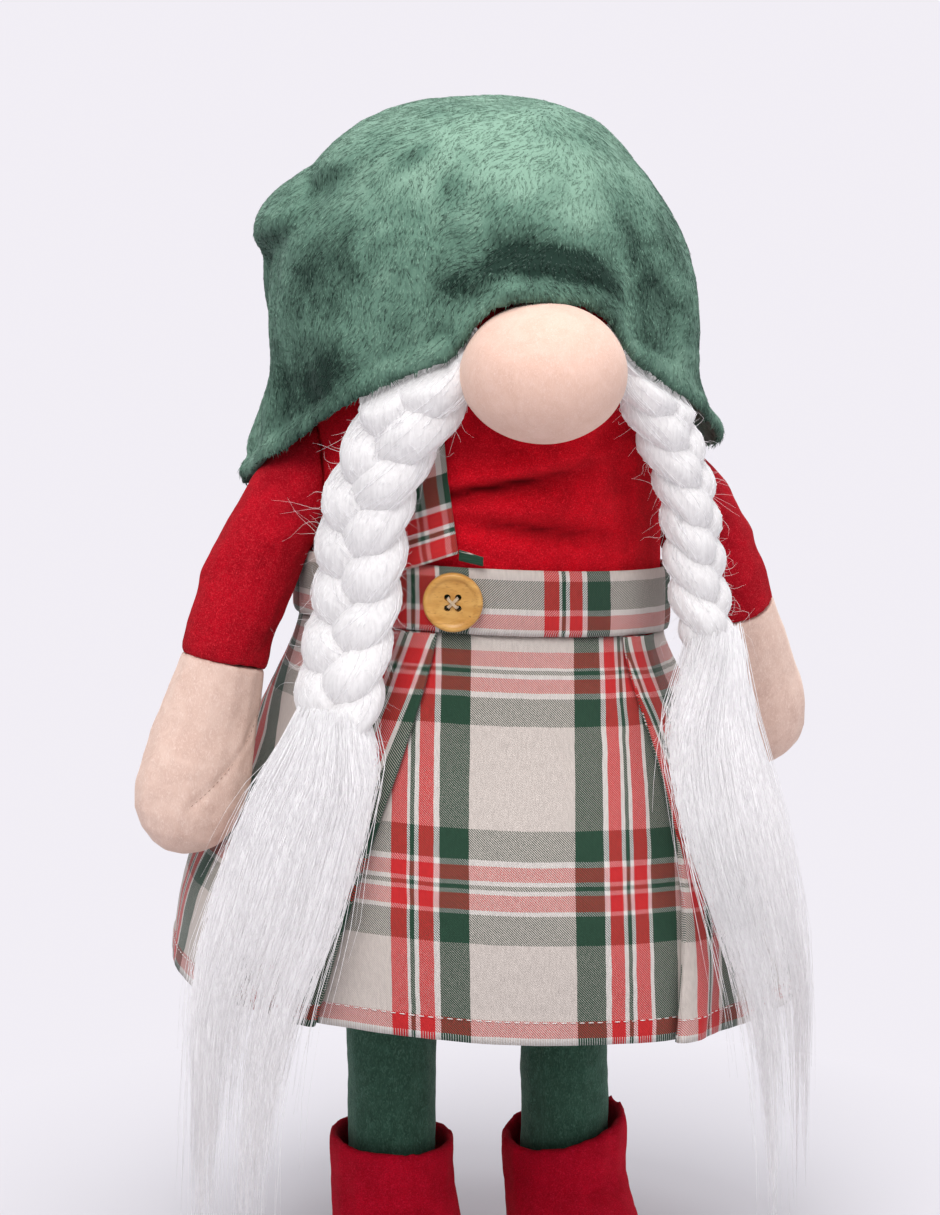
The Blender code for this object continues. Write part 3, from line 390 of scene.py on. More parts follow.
def stitch_tree():
    """A Geometry Nodes tree that lays short round stitches, end to end, along a line of points."""
    tree = bpy.data.node_groups.new("stitch row", 'GeometryNodeTree')
    face = tree.interface
    face.new_socket("Line", in_out='INPUT', socket_type='NodeSocketGeometry')
    for label in ("Stitch length", "Stitch gap", "Thread radius"):
        face.new_socket(label, in_out='INPUT', socket_type='NodeSocketFloat')
    face.new_socket("Thread", in_out='INPUT', socket_type='NodeSocketMaterial')
    face.new_socket("Stitches", in_out='OUTPUT', socket_type='NodeSocketGeometry')
    given = tree.nodes.new("NodeGroupInput").outputs
    step = sums(tree, given["Stitch length"], 'ADD', given["Stitch gap"])
    curve = add_node(tree, "GeometryNodeMeshToCurve", {"Mesh": given["Line"]}).outputs["Curve"]
    steps = {"Curve": curve, "Length": step}
    spots = add_node(tree, "GeometryNodeCurveToPoints", steps, mode='LENGTH').outputs
    pill_form = {"Segments": 6, "Rings": 4, "Radius": 0.5}
    pill = add_node(tree, "GeometryNodeMeshUVSphere", pill_form).outputs["Mesh"]
    width = sums(tree, given["Thread radius"], 'MULTIPLY', 2.0)
    measures = {"X": width, "Y": width, "Z": given["Stitch length"]}
    size = add_node(tree, "ShaderNodeCombineXYZ", measures).outputs["Vector"]
    settings = {"Points": spots["Points"], "Instance": pill, "Rotation": spots["Rotation"], "Scale": size}
    laid = add_node(tree, "GeometryNodeInstanceOnPoints", settings).outputs["Instances"]
    real = add_node(tree, "GeometryNodeRealizeInstances", {"Geometry": laid}).outputs["Geometry"]
    painted = add_node(tree, "GeometryNodeSetMaterial", {"Geometry": real, "Material": given["Thread"]})
    result = tree.nodes.new("NodeGroupOutput")
    tree.links.new(painted.outputs["Geometry"], result.inputs["Stitches"])
    return tree


def run_tree(piece, tree, values):
    """Give a Geometry Nodes modifier its named inputs and make its result the piece's mesh."""
    change = piece.modifiers.new(tree.name, 'NODES')
    change.node_group = tree
    sockets = {item.name: item.identifier for item in tree.interface.items_tree if item.in_out == 'INPUT'}
    for label, value in values.items():
        change[sockets[label]] = value
    return plain_mesh(piece)


STITCHES = stitch_tree()


def stitch_rows(name, lines, thread, length, gap, radius):
    """Rows of stitches, each along its own line of points."""
    points = [tuple(point) for line in lines for point in line]
    edges = []
    start = 0
    for line in lines:
        edges.extend((start + step, start + step + 1) for step in range(len(line) - 1))
        start += len(line)
    mesh = bpy.data.meshes.new(name)
    mesh.from_pydata(points, edges, [])
    piece = show(name, mesh, thread)
    values = {"Stitch length": length, "Stitch gap": gap, "Thread radius": radius, "Thread": thread}
    run_tree(piece, STITCHES, values)
    piece.data.shade_smooth()
    return piece


def thread_material(name, colour):
    """Spun thread with a slight sheen."""
    material, tree, shader = new_material(name, 0.8, 0.3)
    place = add_node(tree, "ShaderNodeTexCoord").outputs["Object"]
    fibre = grain(tree, place, 0.0003, 2.0)
    darker = tuple(0.7 * part for part in colour)
    tree.links.new(blend_of(tree, fibre, darker, colour), shader.inputs["Base Color"])
    raise_surface(tree, shader, fibre, 0.0001, 0.6)
    return material


def seen_on(piece, spots, lift):
    """Points of the picture carried onto a piece, a little proud of it."""
    tree = BVHTree.FromPolygons(
        [vertex.co for vertex in piece.data.vertices], [face.vertices for face in piece.data.polygons])
    found = []
    for x, y in spots:
        point, normal, _, _ = tree.ray_cast(eye, sight_line(x, y))
        if point is not None:
            found.append(point + normal * lift)
    return found


def distance_to(path, point):
    """Shortest distance from a point to the points of a path."""
    return min((spot - point).length for spot in path)


peach_fleece = fleece_material("peach fleece", (0.66, 0.45, 0.37), (0.76, 0.55, 0.46), (0.84, 0.66, 0.58))
mitten_thread = thread_material("peach thread", (0.50, 0.32, 0.25))
for side in SIDES:
    mitten = soft_copy(f"hand_{side}", f"fleece_mitten_{side}", peach_fleece, voxel=0.0013, rounds=6)
    seam = []
    if side == "minus_x":
        seam = smooth_line(seen_on(mitten, MITTEN_SEAM, 0.0), SEAM_SPACING)

    def mitten_rise(point, normal):
        """Lumps of stuffing, and the groove along the seam."""
        rise = 0.0007 * lumps(point, 0.016, 7.0) + 0.0002 * lumps(point, 0.005, 8.0)
        if seam and normal.dot(view_back) > 0:
            rise -= 0.0007 * hump(distance_to(seam, point), 0.0, 0.0018)
        return rise

    push(mitten, mitten_rise)
    if seam:
        row = smooth_line(seen_on(mitten, MITTEN_SEAM, 0.00005), SEAM_SPACING)
        stitches = stitch_rows(
            "mitten_stitches", [row], mitten_thread, STITCH_LENGTH, STITCH_GAP, STITCH_RADIUS)
        on_body(stitches, "peach_fleece")
    on_body(mitten, "peach_fleece", f"hand_{side}")


# Legs
# Two tubes of dark green fleece, loosely stuffed, so that they are a little lumpy. They hang from the
# body's bottom and go down into the boots.

def leg_rise(point, normal):
    """Lumps of stuffing and short hanging creases."""
    drawn = Vector((point.x, point.y, point.z * 0.6))
    return 0.0009 * lumps(drawn, 0.014, 9.0) + 0.0003 * lumps(point, 0.005, 10.0)


green_fleece = fleece_material(
    "dark green fleece", (0.016, 0.052, 0.032), (0.030, 0.085, 0.055), (0.075, 0.165, 0.115), 0.0011, 0.0007,
    (0.6, 0.9, 0.75))
for side in SIDES:
    leg = soft_copy(f"leg_{side}", f"fleece_leg_{side}", green_fleece, voxel=0.0024, rounds=2)
    push(leg, leg_rise)
    on_body(leg, "green_fleece", f"leg_{side}")


# Boots
# Thick red felt, cut and sewn into a short wide boot with a raw upper edge, on a sole of dense dark
# felt. The photograph shows only their tops.

def boot_rise(point, normal):
    """Soft dents of hand-worked felt."""
    return 0.0008 * lumps(point, 0.020, 11.0) + 0.0003 * lumps(point, 0.006, 12.0)


boot_felt = felt_material("boot felt", (0.39, 0.001, 0.012), (0.60, 0.002, 0.022), (0.68, 0.014, 0.050))
sole_felt = felt_material("sole felt", (0.12, 0.003, 0.006), (0.22, 0.006, 0.011), (0.32, 0.02, 0.03))
for side in SIDES:
    boot = soft_copy(f"boot_{side}", f"felt_boot_{side}", boot_felt, voxel=0.0017, rounds=3)
    push(boot, boot_rise)
    on_body(boot, "red_felt", f"boot_{side}")
    sole = soft_copy(f"sole_{side}", f"felt_sole_{side}", sole_felt, voxel=0.0013, rounds=1)
    on_body(sole, "sole_felt", f"sole_{side}")


# Skirt
# One sheet of tartan twill, knife pleated into the waistband and hemmed with white thread. The cloth
# is straight, so its stripes run straight down each panel and vanish under the pleats' edges.

WAIST_HALF_WIDTH = 0.0755
TOUCH = 0.0003
SEAM_BACK_HEIGHT = 0.292
SEAM_FRONT_RISE = 0.0125
SEAM_TILT = -0.082
SKIRT_CLOTH = 0.0007
SKIRT_FLARE_SIDE = 0.062
SKIRT_FLARE_FRONT = 0.054
FLARE_DROP = 0.075
FLARE_POWER = 1.5
HEM_HEIGHT = 0.1455
HEM_RISE = 0.004
HEM_TILT = -0.082
HEM_FOLD = 0.0100
HEM_STITCH_LENGTH = 0.0026
HEM_STITCH_GAP = 0.0012
HEM_STITCH_RADIUS = 0.00022
PLEAT_LAYER_TOP = 0.0016
PLEAT_LAYER_HEM = 0.0027
PLEAT_UNDER_TOP = 0.013
PLEAT_UNDER_HEM = 0.010
# The dent where the hand presses the cloth in
DENT_DEPTH = 0.0155
DENT_ANGLE = math.radians(-80)
DENT_REACH = math.radians(24)
DENT_HEIGHT = 0.240
DENT_TALL = 0.032
# Pleats: visible edge at the waist and at the hem in degrees, and the side its cloth comes from
PLEATS = [(-146, -138, 1), (-26, -41, -1), (37, 23, 1), (139, 147, -1)]
PLEAT_SPANS = [9, 6, 9, 5]
COLUMNS_A_SPAN = 4
SKIRT_ROWS = 56
# The woven check, in metres: the stripes in the order of the cloth, and their colours
CREAM = (0.548, 0.485, 0.444)
WHITE = (0.624, 0.601, 0.577)
RED = (0.504, 0.016, 0.018)
GREEN = (0.013, 0.048, 0.026)
SETT = [
    (0.0059, RED), (0.0016, WHITE), (0.0019, GREEN), (0.0016, WHITE), (0.0059, RED), (0.0024, WHITE),
    (0.0118, GREEN), (0.0430, CREAM), (0.0118, GREEN), (0.0026, WHITE), (0.0059, RED), (0.0016, WHITE),
    (0.0022, GREEN), (0.0016, WHITE), (0.0062, RED), (0.0022, WHITE), (0.0118, GREEN), (0.0306, CREAM),
]
REPEAT = sum(width for width, _ in SETT)
SLANT_LENGTH = 0.1665
HEM_IN_SETT = 0.1599
WHITE_HEM = 0.0030
TWILL = 0.00100


def mix(first, second, share):
    """A value between two others."""
    return first + (second - first) * share


def at_angle(angle, half_width, half_depth, height):
    """A point of an ellipse round the figure's axis."""
    return Vector((half_width * math.sin(angle), -half_depth * math.cos(angle), height)) + AXIS


def along(stations, at):
    """Value at a place, on a smooth curve through stations of (place, value)."""
    places = [station[0] for station in stations]
    values = [station[1] for station in stations]
    at = min(max(at, places[0]), places[-1])
    last = len(stations) - 1
    step = 0
    while step < last - 1 and at > places[step + 1]:
        step += 1
    span = places[step + 1] - places[step]
    share = (at - places[step]) / span
    slopes = []
    for near in (step, step + 1):
        before = max(near - 1, 0)
        after = min(near + 1, last)
        slopes.append((values[after] - values[before]) / (places[after] - places[before]) * span)
    return cubic(values[step], values[step + 1], *slopes, share)


def outward(angle):
    """Direction straight out from the axis at an angle."""
    return Vector((math.sin(angle), -math.cos(angle), 0.0))


def seam_height(angle):
    """Height of the seam between the waistband and the skirt."""
    rise = SEAM_FRONT_RISE * (1 + math.cos(angle)) / 2
    return SEAM_BACK_HEIGHT + rise + SEAM_TILT * WAIST_HALF_WIDTH * math.sin(angle)


def skirt_hem(angle):
    """Height of the skirt's hem, which hangs lower towards +X."""
    half_width = WAIST_HALF_WIDTH + SKIRT_FLARE_SIDE
    return HEM_HEIGHT + HEM_RISE * math.cos(angle) + HEM_TILT * half_width * math.sin(angle)


def skirt_point(angle, share, level=0.0):
    """A point of the skirt's cloth, a share of the way down, on a layer of a pleat."""
    top = seam_height(angle) - TOUCH - 0.0002
    height = mix(top, skirt_hem(angle), share)
    flare = 1 - math.exp(-((top - height) / FLARE_DROP) ** FLARE_POWER)
    side_reach = WAIST_HALF_WIDTH + TOUCH + SKIRT_CLOTH + SKIRT_FLARE_SIDE * flare
    front_reach = WAIST_HALF_WIDTH * BODY_DEPTH_RATIO + TOUCH + SKIRT_CLOTH + SKIRT_FLARE_FRONT * flare
    wave = 0.0030 * share ** 2 * math.sin(5 * angle + 0.6) * (1 - hump(turn_gap(angle, 0.0), 0.0, 0.7))
    dent = DENT_DEPTH * hump(turn_gap(angle, DENT_ANGLE), 0.0, DENT_REACH)
    dent *= hump(height, DENT_HEIGHT, DENT_TALL)
    layer = mix(PLEAT_LAYER_TOP, PLEAT_LAYER_HEM, share) * level
    off = layer + wave - dent
    return at_angle(angle, side_reach + off, front_reach + off, height)


def pleat_columns(edge_top, edge_hem, way, share):
    """Angles and layers of one knife pleat at a share of the way down, in the order of the cloth."""
    edge = math.radians(mix(edge_top, edge_hem, share))
    radius = mix(WAIST_HALF_WIDTH, WAIST_HALF_WIDTH + SKIRT_FLARE_SIDE, share)
    under = mix(PLEAT_UNDER_TOP, PLEAT_UNDER_HEM, share) / radius
    bow = mix(PLEAT_LAYER_TOP, PLEAT_LAYER_HEM, share) * 0.45 / radius
    columns = [
        (edge, 0.0), (edge + way * under, 0.0), (edge + way * (under + bow), 0.5),
        (edge + way * under, 1.0), (edge, 1.0), (edge - way * bow, 1.5),
        (edge, 2.0), (edge + way * under, 1.9), (edge + way * 2.2 * under, 0.3),
    ]
    return columns if way > 0 else columns[::-1]


def skirt_columns(share):
    """The cloth's whole way round, as its (angle, layer) pairs and the panel that each belongs to."""
    folds = [pleat_columns(*pleat, share) for pleat in PLEATS]
    columns = []
    panels = []
    for step, fold in enumerate(folds):
        # The cloth of the next panel starts in the hidden middle of the fold
        hidden = 5 if PLEATS[step][2] > 0 else 4
        columns.extend(fold)
        panels.extend([(step - 1) % len(folds)] * hidden + [step] * (len(fold) - hidden))
        following = folds[(step + 1) % len(folds)][0]
        start = fold[-1][0]
        end = following[0] if following[0] > start else following[0] + 2 * math.pi
        count = PLEAT_SPANS[step]
        columns.extend((mix(start, end, part / (count + 1)), 0.0) for part in range(1, count + 1))
        panels.extend([step] * count)
    return columns, panels


def finer(columns, panels):
    """More columns on a smooth curve through the given ones, closed round the figure."""
    turn = Vector((2 * math.pi, 0.0))
    points = [Vector(column) for column in columns]
    ring = [points[-1] - turn] + points + [points[0] + turn, points[1] + turn]
    result = []
    for step in range(1, len(points) + 1):
        before, start, end, after = ring[step - 1:step + 3]
        for part in range(COLUMNS_A_SPAN):
            spot = cubic(start, end, (end - before) * 0.5, (after - start) * 0.5, part / COLUMNS_A_SPAN)
            result.append((spot.x, spot.y, panels[step - 1]))
    return result


def panel_start(panel, share):
    """Reference angle of a panel, and its place in the check; the panels in front follow the photo."""
    if panel == 0:
        minus_edge = math.radians(mix(PLEATS[1][0], PLEATS[1][1], share))
        return minus_edge, 0.1082 - REPEAT - 0.001 + 0.011 * share ** 0.7
    if panel == 1:
        return math.radians(mix(-14.8, -13.3, share)), 0.0311
    if panel == 2:
        plus_edge = math.radians(mix(PLEATS[2][0], PLEATS[2][1], share))
        return plus_edge, REPEAT + 0.0095 - 0.0175 * share
    return math.pi, 0.030


def arc_between(start, end, share):
    """Length of cloth between two angles at a share of the way down."""
    steps = 6
    points = [skirt_point(mix(start, end, step / steps), share) for step in range(steps + 1)]
    length = sum((second - first).length for first, second in zip(points, points[1:]))
    return math.copysign(length, end - start)


def tartan_material(name, across, down):
    """Woven twill check; the stripes' places come from the piece's own map, in metres."""
    material, tree, shader = new_material(name, 0.82, 0.15)
    cloth = add_node(tree, "ShaderNodeUVMap", uv_map="cloth").outputs["UV"]
    parts = add_node(tree, "ShaderNodeSeparateXYZ", {"Vector": cloth})
    wobble = sums(tree, grain(tree, cloth, 0.012, 2.0), 'MULTIPLY', 0.0006)

    def stripes(run):
        """The yarn's colour, and whether it is dyed, along one direction of the cloth."""
        share = sums(tree, sums(tree, run, 'ADD', wobble), 'DIVIDE', REPEAT)
        share = sums(tree, share, 'FLOORED_MODULO', 1.0)
        yarn = add_node(tree, "ShaderNodeValToRGB", {"Fac": share})
        dyed = add_node(tree, "ShaderNodeValToRGB", {"Fac": share})
        for ramp, pick in ((yarn, lambda tone: tone), (dyed, lambda tone: (float(tone in (RED, GREEN)),) * 3)):
            ramp.color_ramp.interpolation = 'CONSTANT'
            place = 0.0
            for number, (width, tone) in enumerate(SETT):
                stop = ramp.color_ramp.elements[number] if number < 2 else ramp.color_ramp.elements.new(place)
                stop.position = place
                stop.color = (*pick(tone), 1.0)
                place += width / REPEAT
        return yarn.outputs["Color"], dyed.outputs["Color"]

    warp, warp_dyed = stripes(parts.outputs[across])
    weft, weft_dyed = stripes(parts.outputs[down])
    # Undyed warp lets almost half of the weft show, dyed warp much less
    both = sums(tree, warp_dyed, 'MULTIPLY', weft_dyed)
    shows = sums(tree, sums(tree, warp_dyed, 'MULTIPLY', -0.27), 'ADD', 0.46)
    shows = sums(tree, sums(tree, both, 'MULTIPLY', 0.16), 'ADD', shows)
    slope = sums(tree, sums(tree, parts.outputs["X"], 'SUBTRACT', parts.outputs["Y"]), 'DIVIDE', TWILL)
    wave = sums(tree, sums(tree, slope, 'PINGPONG', 0.5), 'MULTIPLY', 2.0)
    step = sums(tree, sums(tree, shows, 'SUBTRACT', wave), 'MULTIPLY', 4.0)
    mask = add_node(tree, "ShaderNodeClamp", {"Value": sums(tree, step, 'ADD', 0.5)}).outputs["Result"]
    colour = blend_of(tree, mask, warp, weft)
    slub = grain(tree, cloth, 0.0009, 2.0, 0.0, (1.0, 0.22, 1.0))
    colour = blend_of(tree, between(tree, slub, 0.35, 2.2), colour, (0.30, 0.28, 0.27), 'MULTIPLY')
    tree.links.new(colour, shader.inputs["Base Color"])
    raise_surface(tree, shader, sums(tree, wave, 'ADD', slub), 0.00016, 0.7)
    return material


def cloth_grid(name, rows, places, material, closed):
    """A sheet from rows of points, with its own map of the cloth in metres."""
    count = len(rows[0])
    mesh = bpy.data.meshes.new(name)
    faces = []
    for row in range(len(rows) - 1):
        for column in range(count if closed else count - 1):
            following = (column + 1) % count
            faces.append((row * count + column, (row + 1) * count + column,
                          (row + 1) * count + following, row * count + following))
    mesh.from_pydata([tuple(point) for row in rows for point in row], [], faces)
    flat = [place for row in places for place in row]
    layer = mesh.uv_layers.new(name="cloth")
    for face in mesh.polygons:
        for corner in face.loop_indices:
            layer.data[corner].uv = flat[mesh.loops[corner].vertex_index]
    return show(name, mesh, material)


def thicken(sheet, cloth, offset):
    """Give a sheet its cloth's thickness: offset is 0 for both ways, -1 for inwards."""
    wall = sheet.modifiers.new("Cloth", 'SOLIDIFY')
    wall.thickness = cloth
    wall.offset = offset
    plain_mesh(sheet)
    sheet.data.shade_smooth()
    return sheet


tartan = tartan_material("tartan twill", "X", "Y")
white_thread = thread_material("white thread", (0.78, 0.75, 0.72))
front_line = [skirt_point(0.0, row / SKIRT_ROWS) for row in range(SKIRT_ROWS + 1)]
drops = [0.0]
for upper, lower in zip(front_line, front_line[1:]):
    drops.append(drops[-1] + (lower - upper).length)
skirt_rows = []
skirt_places = []
for row in range(SKIRT_ROWS + 1):
    down = row / SKIRT_ROWS
    height_on_cloth = SLANT_LENGTH * (1 - drops[row] / drops[-1])
    weft_place = HEM_IN_SETT - max(height_on_cloth, WHITE_HEM)
    points = []
    spots = []
    for angle, level, panel in finer(*skirt_columns(down)):
        start, place = panel_start(panel, down)
        spot = skirt_point(angle, down, level)
        ripple = 0.0011 * down * lumps(Vector((angle * 0.075, down * 0.05, level)), 0.016, 13.0)
        ripple += 0.0005 * lumps(Vector((angle * 0.09, down * 0.10, level)), 0.006, 14.0)
        if height_on_cloth < HEM_FOLD:
            ripple += 0.0004
        points.append(spot + outward(angle) * ripple)
        arc = arc_between(start, start + turn_gap(angle, start), down)
        spots.append((place + arc, weft_place))
    skirt_rows.append(points)
    skirt_places.append(spots)
skirt = cloth_grid("tartan_skirt", skirt_rows, skirt_places, tartan, True)
thicken(skirt, SKIRT_CLOTH, 0.0)
on_body(skirt, "tartan", "skirt")

# The hem's stitches stand on the cloth's outer face
hem_line = []
hem_share = 1 - HEM_FOLD / SLANT_LENGTH
for angle, level, _ in finer(*skirt_columns(hem_share)):
    hem_line.append(skirt_point(angle, hem_share, level) + outward(angle) * (SKIRT_CLOTH * 0.5 + 0.0009))
hem_line.append(hem_line[0])
hem_stitches = stitch_rows(
    "hem_stitches", [hem_line], white_thread, HEM_STITCH_LENGTH, HEM_STITCH_GAP, HEM_STITCH_RADIUS)
on_body(hem_stitches, "tartan")


# Waistband
# A folded strip of the same tartan round the body, with the skirt sewn into its lower edge. Its
# stripes are matched to those of the skirt only roughly, as on the real one.

BAND_CLOTH = 0.003
BAND_WIDTH = 0.027
BAND_WALL = 0.0022
BAND_ROWS = 14
ROUND_COLUMNS = 144
# Where the first red stripe of the check starts on the band
BAND_RED_ANGLE = math.radians(6.9)
BAND_WEFT_START = 0.0080
BAND_WHITE_EDGE = 0.0016
# The body's half width at heights, as the band and the strap lie on it
BODY_SIDES = [
    (0.204, 0.034), (0.210, 0.054), (0.228, 0.068), (0.264, WAIST_HALF_WIDTH), (0.350, WAIST_HALF_WIDTH),
    (0.385, 0.0745), (0.410, 0.0698), (0.425, 0.067), (0.450, 0.071),
]


def body_point(angle, height, off=0.0):
    """A point on the body's felt, or a distance off it."""
    half_width = along(BODY_SIDES, height)
    return at_angle(angle, half_width + off, half_width * BODY_DEPTH_RATIO + off, height)


def round_arc(start, angle, height, off):
    """Length of cloth round the body between two angles."""
    gap = turn_gap(angle, start)
    steps = 8
    points = [body_point(start + gap * step / steps, height, off) for step in range(steps + 1)]
    return math.copysign(sum((b - a).length for a, b in zip(points, points[1:])), gap)


band_rows = []
band_places = []
for row in range(BAND_ROWS + 1):
    share = row / BAND_ROWS
    edge_tuck = abs(2 * share - 1) ** 8
    points = []
    spots = []
    for column in range(ROUND_COLUMNS):
        angle = 2 * math.pi * (column / ROUND_COLUMNS + 0.5)
        height = seam_height(angle) + BAND_WIDTH * share
        off = TOUCH + BAND_CLOTH - 0.0009 * edge_tuck
        off += 0.0004 * lumps(Vector((angle * 0.075, height, 0.0)), 0.013, 15.0)
        off += 0.0002 * lumps(Vector((angle * 0.075, height, 0.0)), 0.005, 16.0)
        points.append(body_point(angle, height, off))
        weft = BAND_WEFT_START + max(BAND_WIDTH * share, BAND_WHITE_EDGE)
        spots.append((round_arc(BAND_RED_ANGLE, angle, height, off), weft))
    band_rows.append(points)
    band_places.append(spots)
band = cloth_grid("tartan_waistband", band_rows[::-1], band_places[::-1], tartan, True)
thicken(band, BAND_WALL, -1.0)
on_body(band, "tartan", "waistband")


# Shoulder strap
# A strip of tartan with the cloth turned a quarter, folded and pressed. Its lower end lies on the
# waistband with a bit of frayed selvedge beside it, and its upper end is sewn in under the hat.

STRAP_CLOTH = 0.0014
STRAP_WIDTH = 0.0255
STRAP_TOP = 0.425
STRAP_ROWS = 48
STRAP_COLUMNS = 14
STRAP_MIDDLE_IN_SETT = 0.00845
STRAP_START_IN_SETT = -0.0012
TAB_LENGTH = 0.0090
TAB_WIDTH = 0.0042
TAB_CLOTH = 0.0008
TAB_ROWS = 4
TAB_COLUMNS = 8
# Angles of the strap's middle at its ends, in degrees
STRAP_LOW_ANGLE = -27
STRAP_TOP_ANGLE = -36

band_top = seam_height(math.radians(STRAP_LOW_ANGLE)) + BAND_WIDTH


def strap_middle(height):
    """Angle of the strap's middle at a height."""
    share = (height - band_top) / (STRAP_TOP - band_top)
    return math.radians(mix(STRAP_LOW_ANGLE, STRAP_TOP_ANGLE, min(max(share, 0.0), 1.0) ** 0.7))


on_band = TOUCH + BAND_CLOTH + TOUCH
strap_rows = []
strap_places = []
for row in range(STRAP_ROWS + 1):
    points = []
    spots = []
    for column in range(STRAP_COLUMNS + 1):
        across = -1 + 2 * column / STRAP_COLUMNS
        bottom = band_top + 0.0012 + 0.0042 * across
        height = mix(bottom, STRAP_TOP, row / STRAP_ROWS)
        step = min(max((height - band_top - 0.004) / 0.012, 0.0), 1.0)
        off = mix(on_band, TOUCH + 0.0004, step * step * (3 - 2 * step)) + STRAP_CLOTH / 2
        off += 0.0005 * hump(row, 0, 4) + 0.0004 * lumps(Vector((across * 0.012, height, 0.0)), 0.012, 17.0)
        angle = strap_middle(height) + across * STRAP_WIDTH / 2 / WAIST_HALF_WIDTH
        points.append(body_point(angle, height, off))
        spots.append((STRAP_START_IN_SETT + height - bottom, STRAP_MIDDLE_IN_SETT + across * STRAP_WIDTH / 2))
    strap_rows.append(points)
    strap_places.append(spots)
strap = cloth_grid("tartan_strap", strap_rows[::-1], strap_places[::-1], tartan, False)
thicken(strap, STRAP_CLOTH, 0.0)
on_body(strap, "tartan", "shoulder_strap")

tab_rows = []
tab_places = []
for row in range(TAB_ROWS + 1):
    points = []
    spots = []
    for column in range(TAB_COLUMNS + 1):
        along_tab = column / TAB_COLUMNS
        run = TAB_LENGTH * (along_tab - 0.15)
        drop = TAB_WIDTH * (row / TAB_ROWS - 0.5)
        height = band_top + 0.0045 - run * 0.25 + drop * (1 - 0.2 * along_tab)
        angle = strap_middle(band_top) + (STRAP_WIDTH / 2 + run) / WAIST_HALF_WIDTH
        off = on_band + 0.0010 + 0.0022 * along_tab ** 1.5 + 0.0004 * math.sin(2.1 * row)
        points.append(body_point(angle, height, off))
        spots.append((0.0300 + run * 0.1, 0.0294 + drop * 0.9))
    tab_rows.append(points)
    tab_places.append(spots)
tab = cloth_grid("selvedge_tab", tab_rows[::-1], tab_places[::-1], tartan, False)
thicken(tab, TAB_CLOTH, 0.0)
on_body(tab, "tartan")


# Button
# A turned disc of pale wood with a raised rim, a shallow dish and four drilled holes. Two stitches
# of beige thread cross over its middle and hold it on the strap's end.

BUTTON_RADIUS = 0.012
BUTTON_THICKNESS = 0.004
BUTTON_RIM = 0.0024
BUTTON_DISH = 0.0009
BUTTON_HOLE_RADIUS = 0.0013
BUTTON_HOLE_SPREAD = 0.0031
BUTTON_ANGLE = math.radians(-20)
BUTTON_HEIGHT = 0.3195
BUTTON_SIDES = 72
THREAD_RADIUS = 0.0006
THREAD_STEPS = 16


def button_frame():
    """Place and turn of the button: its back lies on the waistband."""
    spot = body_point(BUTTON_ANGLE, BUTTON_HEIGHT, on_band)
    local = spot - AXIS
    width = WAIST_HALF_WIDTH + BAND_CLOTH
    depth = WAIST_HALF_WIDTH * BODY_DEPTH_RATIO + BAND_CLOTH
    out = Vector((local.x / width ** 2, local.y / depth ** 2, 0.0)).normalized()
    return Matrix.Translation(spot) @ out.to_track_quat('Z', 'Y').to_matrix().to_4x4()


def ring_faces(rings, count, capped):
    """Faces between rings of points, closed at both ends where capped."""
    faces = []
    for ring in range(rings - 1):
        for corner in range(count):
            following = (corner + 1) % count
            faces.append((ring * count + corner, ring * count + following,
                          (ring + 1) * count + following, (ring + 1) * count + corner))
    if capped:
        faces.append(tuple(range(count))[::-1])
        faces.append(tuple((rings - 1) * count + corner for corner in range(count)))
    return faces


def wood_material():
    """Pale wood, turned and lacquered: fine straight grain, darker in its pores."""
    material, tree, shader = new_material("turned wood", 0.38)
    shader.inputs["Coat Weight"].default_value = 0.25
    shader.inputs["Coat Roughness"].default_value = 0.3
    place = add_node(tree, "ShaderNodeTexCoord").outputs["Object"]
    broad = grain(tree, place, 0.006, 3.0, 0.4, (0.35, 1.0, 1.6))
    pores = grain(tree, place, 0.0007, 3.0, 0.3, (0.12, 1.0, 1.0))
    specks = grain(tree, place, 0.0016, 2.0)
    colour = blend_of(tree, between(tree, broad, 0.35, 0.65), (0.50, 0.24, 0.050), (0.64, 0.36, 0.100))
    colour = blend_of(tree, between(tree, pores, 0.56, 0.78), colour, (0.36, 0.16, 0.035))
    colour = blend_of(tree, between(tree, specks, 0.70, 0.80), colour, (0.22, 0.09, 0.02))
    tree.links.new(colour, shader.inputs["Base Color"])
    raise_surface(tree, shader, pores, 0.00008, 0.4)
    return material


# Radius and height, from the middle of the back over the rim to the middle of the dish
rim = BUTTON_RADIUS
front = BUTTON_THICKNESS
dish = front - BUTTON_DISH
inner = rim - BUTTON_RIM
button_profile = [
    (0.0001, 0.0), (rim - 0.0014, 0.0), (rim - 0.0006, 0.0003), (rim - 0.0001, 0.0009), (rim, 0.0015),
    (rim, front - 0.0013), (rim - 0.0002, front - 0.0006), (rim - 0.0007, front - 0.0001),
    (rim - 0.0013, front), (inner + 0.0004, front - 0.0001), (inner - 0.0001, front - 0.0004),
    (inner - 0.0006, dish + 0.0001), (inner - 0.0012, dish), (0.0050, dish + 0.0001), (0.0001, dish + 0.0001),
]
button_points = []
for radius, height in button_profile:
    for corner in range(BUTTON_SIDES):
        angle = 2 * math.pi * corner / BUTTON_SIDES
        button_points.append((radius * math.cos(angle), radius * math.sin(angle), height))
button_mesh = bpy.data.meshes.new("wooden_button")
button_mesh.from_pydata(button_points, [], ring_faces(len(button_profile), BUTTON_SIDES, True))
button = show("wooden_button", button_mesh, wood_material())
drills = []
